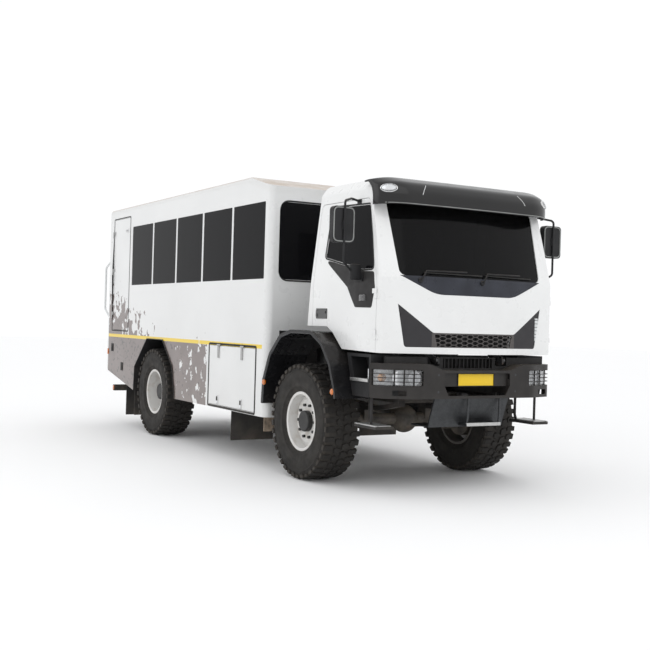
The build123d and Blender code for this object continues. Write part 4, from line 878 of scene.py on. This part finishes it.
def tyre_mesh():
    """Casing with staggered centre blocks, shoulder blocks and lugs down the walls."""
    points, faces = casing()
    pitch = 2 * math.pi / PITCHES
    for i in range(PITCHES):
        wide, deep = (0.62, 0.530) if i % 2 else (0.52, 0.545)
        for side in (-1, 1):
            start = (i + (0.5 if side > 0 else 0.0)) * pitch
            centre = [(start, side * 0.006), (start + pitch * 0.62, side * 0.010),
                      (start + pitch * 0.80, side * 0.050), (start + pitch * 0.62, side * 0.080),
                      (start + pitch * 0.16, side * 0.074), (start + pitch * 0.06, side * 0.040)]
            add_lug(points, faces, centre, TREAD_BASE, TYRE_R, on_crown, 0.12)
            begin = start + pitch * 0.42
            end = begin + pitch * wide
            shoulder = [(begin, side * 0.092), (begin + pitch * 0.30, side * 0.086), (end, side * 0.104),
                        (end, side * 0.182), (begin - pitch * 0.02, side * 0.182)]
            add_lug(points, faces, shoulder, TREAD_BASE - 0.010, TYRE_R, on_crown, 0.10)
            wall = [(begin, deep), (end, deep), (end, 0.579), (begin - pitch * 0.02, 0.579)]
            add_lug(points, faces, wall, 0.172, TYRE_HALF, on_wall(side), 0.10)
    return solid(points, faces)


def tyres():
    """The four tyres in place of the frame's."""
    mesh = tyre_mesh()
    for end, x in (("front", 0.0), ("rear", -WHEELBASE)):
        for side, sign in SIDES.items():
            centre = at(x, sign * WHEEL_Y, TYRE_R)
            tyre = piece(f"tyre_{end}_{side}", mesh, "rubber", f"{end}_wheel_{side}", centre)
            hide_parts(f"{end}_tyre_{side}")


# Passenger body trim


def body_trim():
    """Seals round the locker and the door, latches, flush locks and side markers."""
    for side, sign in SIDES.items():
        wall = surface_of(f"body_side_{side}")
        y = sign * BODY_Y
        line = outline(widen(LOCKER_X, 0.016), (y, y), widen(LOCKER_Z, 0.016), 0.02)
        seal(f"locker_seal_{side}", wall, line, (0, -sign, 0), 0.027, 0.0035, step=1.0)
        line = outline(widen(DOOR_X, 0.011), (y, y), widen(DOOR_Z, 0.011), 0.02)
        seal(f"rear_door_seal_{side}", wall, line, (0, -sign, 0), 0.016, 0.003, step=1.0)
        plates, paddles, locks = [], [], []
        for x in LATCH_X:
            plates.append((at(x, sign * (BODY_Y + 0.004), 0.655), (0.052, 0.008, 0.105), 0.003))
            plates.append((at(x, sign * (BODY_Y + 0.010), 0.625), (0.030, 0.008, 0.040), 0.003))
            paddles.append((at(x, sign * (BODY_Y + 0.009), 0.668), (0.034, 0.006, 0.052), 0.002))
        for x, z in ((-5.83, 1.136), (-5.38, 0.870)):
            locks.append((at(x, sign * (BODY_Y + 0.002), z), (0.100, 0.006, 0.118), 0.0025))
            locks.append((at(x, sign * (BODY_Y + 0.006), z - 0.012), (0.060, 0.006, 0.050), 0.0025))
        blocks(f"locker_latch_plates_{side}", plates, "chrome", f"locker_door_{side}")
        blocks(f"locker_latch_paddles_{side}", paddles, "seal", f"locker_door_{side}")
        blocks(f"flush_locks_{side}", locks, "seal")
        handle = bmesh.new()
        add_block(handle, at(-5.262, sign * (BODY_Y + 0.003), 2.860), (0.070, 0.008, 0.060), 0.003)
        add_turned(handle, [(0.012, 0.0), (0.012, 0.018), (0.016, 0.022), (0.016, 0.034), (0.010, 0.038)],
                   at(-5.262, y, 2.860), (0, sign, 0))
        piece(f"rear_door_lock_{side}", from_bmesh(handle), "chrome", f"rear_door_{side}")
        markers = [(at(BODY_REAR + 0.030, sign * (BODY_Y + 0.004), 1.069), (0.044, 0.012, 0.085), 0.004),
                   (at(-5.870, sign * 1.153, BEAM_Z), (0.050, 0.010, 0.070), 0.004)]
        blocks(f"rear_side_markers_{side}", markers, "amber")


def window_seals():
    """Black rubber round the front and rear windows of the body."""
    wall = surface_of("body_front_wall")
    for side, sign in SIDES.items():
        line = outline((BODY_FRONT, BODY_FRONT), (sign * 0.288, sign * 1.060), (2.046, 2.913), 0.11)
        seal(f"front_window_seal_{side}", wall, line, (-1, 0, 0), 0.020, 0.004)
    line = outline((BODY_REAR, BODY_REAR), (-0.632, 0.632), (2.088, 2.812), 0.08)
    seal("rear_window_seal", surface_of("body_rear_wall"), line, (1, 0, 0), 0.020, 0.004)


def rear_lights():
    """Lamp clusters and a blank plate on the tail beam."""
    lenses = {"red": ((0.86, 0.070), (0.94, 0.070)), "amber": ((1.035, 0.100),), "clear": ((0.780, 0.070),)}
    for side, sign in SIDES.items():
        housing = [(at(BEAM_X - 0.014, sign * 0.93, BEAM_Z), (0.030, 0.400, 0.086), 0.006)]
        blocks(f"tail_lamp_housing_{side}", housing, "plastic")
        for tint, spots in lenses.items():
            face = BEAM_X - 0.032
            parts = [(at(face, sign * y, BEAM_Z), (0.012, wide, 0.070), 0.004) for y, wide in spots]
            blocks(f"tail_lamp_{tint}_{side}", parts, tint)
    plate = [(at(BEAM_X - 0.001, 0.0, BEAM_Z), (0.004, 0.430, 0.080), 0.0015)]
    blocks("rear_blank_plate", plate, "plate")


# Cab trim


def mirrors():
    """Glass and a pale rim on each mirror head, its grey a painted highlight on the black head's edge, and a
    small kerb mirror below it.
    """
    for side, sign in SIDES.items():
        body = f"cab_door_{side}"
        for name, z, high in (("main", 2.545, 0.215), ("wide", 2.388, 0.058)):
            glass = [(at(0.9035, sign * MIRROR_Y, z), (0.004, 0.200, high), 0.0015)]
            blocks(f"mirror_glass_{name}_{side}", glass, "mirror", body)
        rim = outline((0.969, 0.969), (sign * 1.180, sign * 1.396), (2.362, 2.676), 0.05)
        wire(f"pale_highlight_trim_{side}", [rim + [rim[0]]], 0.0065, "pale_highlight_trim", body)
        small = [(at(0.930, sign * 1.125, 2.085), (0.046, 0.120, 0.150), 0.016)]
        blocks(f"kerb_mirror_{side}", small, "plastic", body)


def door_trim():
    """Black panel under each door window, its lamp and the window seal."""
    dark = [(0.205, 2.235), (0.470, 2.075), (0.672, 1.950), (0.745, 1.850), (0.820, 1.756), (1.110, 1.751),
            (1.160, 1.945), (1.132, 2.090), (0.925, 2.100)]
    window = [(0.208, 2.246), (0.286, 2.757), (0.991, 2.737), (1.130, 2.110), (0.928, 2.108)]
    for side, sign in SIDES.items():
        body = f"cab_door_{side}"
        tree = surface_of(body)
        inward = (0, -sign, 0)
        line = rounded([at(x, sign * CAB_Y, z) for x, z in dark], 0.035)
        panel_on(f"door_dark_panel_{side}", tree, line, inward, 0.004, "trim", body)
        lamp = [(at(0.965, sign * (CAB_Y + 0.009), 1.845), (0.100, 0.022, 0.060), 0.005)]
        blocks(f"side_repeater_{side}", lamp, "clear", body)
        line = rounded([at(x, sign * CAB_Y, z) for x, z in window], 0.045)
        seal(f"door_window_seal_{side}", tree, line, inward, 0.018, 0.003, body, 0.3)


def wipers():
    """Two parked wipers on the cowl: arm, blade and pivot each."""
    screen = surface_of("cab_glass", "wiper_cowl")
    inward = Vector((-1, 0, 0))
    out = Vector((0.030, 0, 0.008))

    def on_screen(y, z):
        return dropped(screen, at(1.30, y, z), inward)[0]

    for name, pivot_y, tip_y in (("right", -0.640, 0.060), ("left", 0.060, 0.720)):
        foot = on_screen(pivot_y, 2.020)
        elbow = on_screen(pivot_y + 0.060, 2.105)
        tip = on_screen((pivot_y + tip_y) / 2 + 0.16, 2.108)
        arm = [foot + out * 0.4, foot + out, elbow + out, tip + out]
        wire(f"wiper_arm_{name}", [arm], 0.008, "plastic", "cab")
        first = on_screen(pivot_y + 0.040, 2.092)
        last = on_screen(tip_y, 2.085)
        count = 12
        blade = []
        for k in range(count + 1):
            spot = first.lerp(last, k / count)
            hit, _ = dropped(screen, spot + Vector((0.1, 0, 0)), inward)
            blade.append(hit + Vector((0.012, 0, 0.004)))
        wire(f"wiper_blade_{name}", [blade], 0.007, "strip", "cab")
        knob = [(0.024, -0.004), (0.024, 0.014), (0.018, 0.022)]
        turned(f"wiper_pivot_{name}", knob, [(foot, (1, 0, 0.25))], "plastic", "cab")


def grille_backing():
    """Dark finned core behind the grille's honeycomb."""
    core = [(at(1.262, 0.0, 1.462), (0.012, 0.960, 0.150), 0.003)]
    core += [(at(1.270, -0.46 + i * 0.04, 1.462), (0.010, 0.006, 0.140), 0.002) for i in range(24)]
    blocks("grille_radiator_core", core, "seal", "cab")


def visor_section(reach):
    """Closed outline of the visor skin, (forward, height), pressed together to a share of its reach."""
    back = 0.905
    outer = [(back, 2.988), (1.085, 2.993), (1.236, 2.930), (1.296, 2.835), (1.292, 2.722)]
    inner = [(1.276, 2.720), (1.276, 2.830), (1.215, 2.905), (1.080, 2.968), (back, 2.970)]
    line = rounded(outer, 0.14, False, 5) + rounded(inner, 0.13, False, 5)
    return [(back + (x - back) * reach, z) for x, z in line]


def visor_reach(y):
    """How far forward the visor comes at a station, as a share: it wraps round at both ends."""
    past = max(0.0, abs(y) - VISOR_FLAT) / VISOR_WRAP
    if past == 0.0:
        return 1.0 - 0.035 * (y / VISOR_FLAT) ** 2
    return 0.965 * (0.42 + 0.58 * math.sqrt(max(0.0, 1 - past ** 2.2)))


def visor_skin():
    """The bulging smoked visor, wrapped round at its ends, in place of the frame's plainer one."""
    stations = [-VISOR_Y + VISOR_WRAP * (1 - math.cos(math.pi / 2 * k / 12)) for k in range(13)]
    stations += [-VISOR_FLAT + 0.1 * k for k in range(1, 14)]
    stations += [-y for y in reversed(stations[:13])]
    points = []
    for y in stations:
        drop = 0.030 * max(0.0, (abs(y) - 0.80) / 0.234) ** 2
        points += [at(x, y, z - drop * (z - 2.70) / 0.29) for x, z in visor_section(visor_reach(y))]
    mesh = solid(points, tube(len(stations), len(points) // len(stations)))
    skin = piece("visor_skin", mesh, "smoked", "cab")
    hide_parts("sun_visor")
    return BVHTree.FromPolygons([v.co for v in mesh.vertices], [list(p.vertices) for p in mesh.polygons])


def oval(name, hit, normal, half_wide, half_high, profile, key):
    """A low oval turned shape on the visor: profile is (share of its size, height)."""
    across = Vector((0, 0, 1)).cross(normal).normalized()
    upward = normal.cross(across)
    rings = []
    for share, height in profile:
        rings.append([hit + across * (half_wide * share * c) + upward * (half_high * share * s)
                      + normal * height for c, s in circle(32)])
    work = bmesh.new()
    add_rings(work, rings)
    piece(name, from_bmesh(work), key, "cab")


def visor_trim(tree):
    """Oval lamps at the visor's ends, the bright joints in its skin and its beaded lower edge, pale grey as a
    painted highlight.
    """
    ring = [(1.0, -0.012), (1.0, 0.004), (0.93, 0.007), (0.84, 0.001)]
    glass = [(1.0, -0.004), (0.97, 0.007), (0.75, 0.012), (0.40, 0.015), (0.02, 0.016)]
    for side, sign in SIDES.items():
        inward = Vector((-0.62, -sign * 0.75, -0.22)).normalized()
        hit, normal = dropped(tree, at(1.200, sign * 0.955, 2.868), inward)
        oval(f"visor_lamp_ring_{side}", hit, normal, 0.082, 0.046, ring, "chrome")
        oval(f"visor_lamp_lens_{side}", hit, normal, 0.070, 0.037, glass, "clear")
        line = [at(1.40, sign * y, z) for y, z in ((0.560, 2.960), (0.600, 2.900), (0.625, 2.850))]
        strip_on(f"visor_joint_{side}", tree, line, (-1, 0, -0.25), 0.007, 0.0015, "chrome", "cab",
                 False, 0.03)
    # Painted highlight: the lower bead is pale grey on the near-black visor.
    edge = [at(1.45, -0.98 + 0.098 * k, 2.732) for k in range(21)]
    strip_on("visor_lower_bead", tree, edge, (-1, 0, 0), 0.009, 0.002, "pale_highlight_trim", "cab", False, 0.05)


# Lower front


def headlamp_line(back):
    """The curve of the bumper face across a headlamp, moved back by so much, as (x, y)."""
    corners = [(1.382, 0.645), (1.380, 0.700), (1.284, 0.965), (1.160, 1.036)]
    return rounded([(x - back, y) for x, y in corners], 0.11, False, 8)


def curved_sheet(name, sign, back, thick, key):
    """A sheet as high as the headlamp, bent like the bumper face."""
    low, high = LAMP_Z
    front, rear = headlamp_line(back), headlamp_line(back + thick)
    points = []
    for (x0, y0), (x1, y1) in zip(front, rear):
        points += [at(x0, sign * y0, low), at(x0, sign * y0, high)]
        points += [at(x1, sign * y1, high), at(x1, sign * y1, low)]
    return piece(name, solid(points, tube(len(front), 4)), key)


def headlamp_units():
    """Each headlamp: bowls in a bright case, an amber section and a clear cover."""
    middle = sum(LAMP_Z) / 2
    bowl = [(0.064, 0.0), (0.058, -0.012), (0.044, -0.034), (0.020, -0.050), (0.018, -0.030), (0.010, -0.022)]
    blinker = [(0.040, 0.0), (0.040, 0.010), (0.030, 0.016), (0.0, 0.018)]
    for side, sign in SIDES.items():
        cover = curved_sheet(f"headlamp_cover_{side}", sign, 0.0, 0.004, "clear")
        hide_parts("headlamps")
        curved_sheet(f"headlamp_case_{side}", sign, 0.085, 0.012, "reflector")
        spots = ((1.360, 0.715), (1.318, 0.865))
        places = [(at(x, sign * y, middle), (1, sign * 0.12, 0)) for x, y in spots]
        turned(f"headlamp_bowls_{side}", bowl, places, "reflector", steps=32)
        places = [(at(1.222, sign * 0.985, middle), (0.8, sign * 0.6, 0))]
        turned(f"headlamp_indicator_{side}", blinker, places, "pale_amber")


def bumper_trim():
    """Bolt heads, and the blank plate in its frame, on the bumper."""
    head = [(0.026, -0.006), (0.026, -0.002), (0.017, -0.001), (0.017, -0.0004)]
    places = [(at(BUMPER_X, sign * 0.465, z), (1, 0, 0)) for sign in SIDES.values() for z in (0.982, 1.142)]
    turned("bumper_bolts", head, places, "guard", steps=6)
    plate = [(at(1.366, 0.0, PLATE_Z), (0.004, 0.427, 0.113), 0.0018)]
    blocks("front_blank_plate", plate, "plate")
    rim = [(at(1.368, 0.0, z), (0.010, 0.440, 0.007), 0.002) for z in (1.034, 1.153)]
    rim += [(at(1.368, y, PLATE_Z), (0.010, 0.007, 0.120), 0.002) for y in (-0.217, 0.217)]
    blocks("front_plate_frame", rim, "seal")


def step_treads():
    """Bright treads on both steps of each side and on the step of the underguard."""
    for side, sign in SIDES.items():
        treads = [(at(0.955, sign * 1.062, 1.074), (0.310, 0.026, 0.032), 0.005),
                  (at(1.055, sign * 1.040, 0.657), (0.364, 0.022, 0.012), 0.004),
                  (at(1.055, sign * 0.945, 0.658), (0.350, 0.150, 0.008), 0.003)]
        blocks(f"step_treads_{side}", treads, "tread")
    bar = [(at(1.278, 0.175, 0.655), (0.026, 0.424, 0.034), 0.005)]
    blocks("underguard_step_bar", bar, "tread")
    hoops = []
    for y in (-0.020, 0.370):
        corners = [at(1.2865, y, 0.905), at(1.2865, y, 0.720), at(1.2690, y, 0.660)]
        hoops.append(rounded(corners, 0.06, False))
    wire("underguard_hoops", hoops, 0.006, "tread")


def radiator():
    """Dark finned core behind the lower grille."""
    core = [(at(1.176, 0.0, 1.215), (0.014, 1.500, 0.150), 0.003),
            (at(1.150, 0.0, 1.255), (0.012, 0.640, 0.132), 0.003)]
    core += [(at(1.186, -0.74 + i * 0.038, 1.215), (0.008, 0.005, 0.140), 0.002) for i in range(40)]
    blocks("lower_radiator_core", core, "seal")


def mudguard_beads():
    """Rolled edge round each front wheel opening, coloured lighter than the mudguard as a painted highlight.
    """
    corners = [(-0.708, 0.730), (-0.690, 0.960), (-0.560, 1.235), (-0.330, 1.440), (-0.110, 1.490),
               (0.300, 1.490), (0.510, 1.385), (0.668, 1.200), (0.760, 0.990), (0.788, 0.890)]
    for side, sign in SIDES.items():
        line = rounded([at(x, sign * 1.232, z) for x, z in corners], 0.14, False)
        wire(f"mudguard_bead_{side}", [line], 0.0075, "lip_highlight")


def mudguard_markers():
    """Amber markers on the edges of the front mudguards."""
    button = [(0.030, -0.010), (0.030, 0.004), (0.022, 0.011), (0.0, 0.013)]
    for side, sign in SIDES.items():
        places = [(at(x, sign * 1.236, 0.945), (0, sign, 0)) for x in (-0.688, 0.752)]
        turned(f"mudguard_markers_{side}", button, places, "amber")


# Seats


def cushion(size, round_edge, crown, channels):
    """A stuffed cushion about its own middle, crowned in z, its sides pulled in, with sewn channels."""
    work = bmesh.new()
    bmesh.ops.create_cube(work, size=2.0)
    bmesh.ops.subdivide_edges(work, edges=work.edges[:], cuts=10, use_grid_fill=True)
    half = Vector(size) / 2
    for vert in work.verts:
        u, v, w = vert.co
        full = Vector((u * half.x, v * half.y, w * half.z))
        core = Vector([max(-(h - round_edge), min(h - round_edge, f)) for f, h in zip(full, half)])
        away = full - core
        spot = core + (away.normalized() * round_edge if away.length > 1e-9 else away)
        bulge = (1 - u * u) * (1 - v * v)
        spot.z += crown * bulge * (1 if w > 0 else 0.15)
        spot.x *= 1 - 0.020 * (1 - v * v) * abs(u)
        spot.y *= 1 - 0.016 * (1 - u * u) * abs(v)
        if w > 0:
            for line in channels:
                spot.z -= 0.010 * math.exp(-((u - line) / 0.07) ** 2) * (1 - v ** 8)
        vert.co = spot
    mesh = bpy.data.meshes.new("pad")
    work.to_mesh(mesh)
    work.free()
    return mesh


def upholstery(name, parts, body="chassis"):
    """One soft piece from several cushions, each with its own place."""
    work = bmesh.new()
    for mesh, place in parts:
        first = len(work.verts)
        work.from_mesh(mesh)
        work.verts.ensure_lookup_table()
        bmesh.ops.transform(work, matrix=place, verts=work.verts[first:])
    return piece(name, from_bmesh(work), "fabric", body)


def passenger_seats():
    """Double seats in rows: cushions, backs and their metal pedestals."""
    base = cushion((0.470, 0.430, 0.110), 0.030, 0.016, (-0.45, 0.0, 0.45))
    back = cushion((0.700, 0.420, 0.100), 0.032, 0.014, (-0.5, -0.15, 0.2))
    lean = Matrix.Rotation(math.radians(-98), 4, "Y")
    seats, frames = [], []
    for row in range(SEAT_ROWS):
        x = DOOR_X[1] + 0.130 + row * SEAT_PITCH
        for sign in SIDES.values():
            middle = sign * 0.699
            for y in (middle - 0.223, middle + 0.223):
                seats.append((base, Matrix.Translation(at(x + 0.238, y, SEAT_FLOOR + 0.385))))
                seats.append((back, Matrix.Translation(at(x + 0.010, y, SEAT_FLOOR + 0.765)) @ lean))
            frames.append((at(x + 0.240, middle, SEAT_FLOOR + 0.160), (0.280, 0.120, 0.325), 0.008))
            frames.append((at(x + 0.235, middle, SEAT_FLOOR + 0.322), (0.440, 0.860, 0.020), 0.006))
    made = upholstery("passenger_cushions", seats)
    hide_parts("passenger_seats")
    blocks("seat_pedestals", frames, "frame")


def cab_seats():
    """Both cab seats: cushion, back and headrest on a pedestal."""
    base = cushion((0.480, 0.470, 0.130), 0.036, 0.018, (-0.4, 0.35))
    back = cushion((0.640, 0.460, 0.115), 0.036, 0.016, (-0.4, 0.1))
    head = cushion((0.170, 0.270, 0.100), 0.036, 0.008, ())
    lean = Matrix.Rotation(math.radians(-95), 4, "Y")
    seats, frames = [], []
    for sign in SIDES.values():
        y = sign * 0.540
        seats.append((base, Matrix.Translation(at(0.400, y, CAB_FLOOR + 0.240))))
        seats.append((back, Matrix.Translation(at(0.172, y, CAB_FLOOR + 0.580)) @ lean))
        seats.append((head, Matrix.Translation(at(0.142, y, CAB_FLOOR + 0.965)) @ lean))
        frames.append((at(0.380, y, CAB_FLOOR + 0.088), (0.350, 0.350, 0.172), 0.010))
    made = upholstery("cab_cushions", seats, "cab")
    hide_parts("cab_seats")
    blocks("cab_seat_pedestals", frames, "frame", "cab")


# Studio


def studio():
    """Pale floor, even sky and two large soft lamps."""
    mesh = from_lists([(-60, -60, 0), (60, -60, 0), (60, 60, 0), (-60, 60, 0)], [(0, 1, 2, 3)])
    mesh.materials.append(pale_floor().material)
    floor = linked("studio_floor", mesh)
    world = bpy.data.worlds.new("studio_sky")
    world.use_nodes = True
    sky = world.node_tree.nodes["Background"]
    sky.inputs["Color"].default_value = (0.985, 0.99, 1.0, 1.0)
    sky.inputs["Strength"].default_value = 1.03
    bpy.context.scene.world = world
    bpy.context.scene.view_settings.view_transform = "Standard"
    lamps = (("key", (9.0, -1.0, 8.0), 6.0, 60.0), ("side", (-1.0, -10.0, 7.0), 7.0, 100.0))
    for name, spot, size, power in lamps:
        lamp = bpy.data.lights.new(f"{name}_lamp", "AREA")
        lamp.size = size
        lamp.energy = power
        obj = linked(f"{name}_lamp", lamp)
        obj.location = spot
        aim = Vector((0.0, 0.0, 1.4)) - obj.location
        obj.rotation_euler = aim.to_track_quat("-Z", "Y").to_euler()


def camera():
    """The photograph's view, solved from the vehicle's known sizes."""
    yaw, pitch, roll = math.radians(149.757), math.radians(-0.143), -0.0291
    look = Vector((math.cos(yaw) * math.cos(pitch), math.sin(yaw) * math.cos(pitch), math.sin(pitch)))
    right = look.cross(Vector((0, 0, 1))).normalized()
    up = right.cross(look)
    across = math.cos(roll) * right - math.sin(roll) * up
    upward = math.sin(roll) * right + math.cos(roll) * up
    data = bpy.data.cameras.new("camera")
    data.sensor_width = SENSOR
    data.lens = SENSOR * FOCAL_PIXELS / PHOTO_PIXELS
    data.clip_end = 200.0
    obj = linked("camera", data)
    spot = Vector((11.569, -6.184, 1.602))
    rows = [(*row, place) for row, place in zip(zip(across, upward, -look), spot)]
    obj.matrix_world = Matrix(rows + [(0, 0, 0, 1)])
    bpy.context.scene.camera = obj


camera()
studio()
dress_cad()
tyres()
body_trim()
window_seals()
rear_lights()
mirrors()
door_trim()
wipers()
grille_backing()
visor_trim(visor_skin())
headlamp_units()
bumper_trim()
step_treads()
radiator()
mudguard_beads()
mudguard_markers()
passenger_seats()
cab_seats()

bpy.context.view_layer.update()
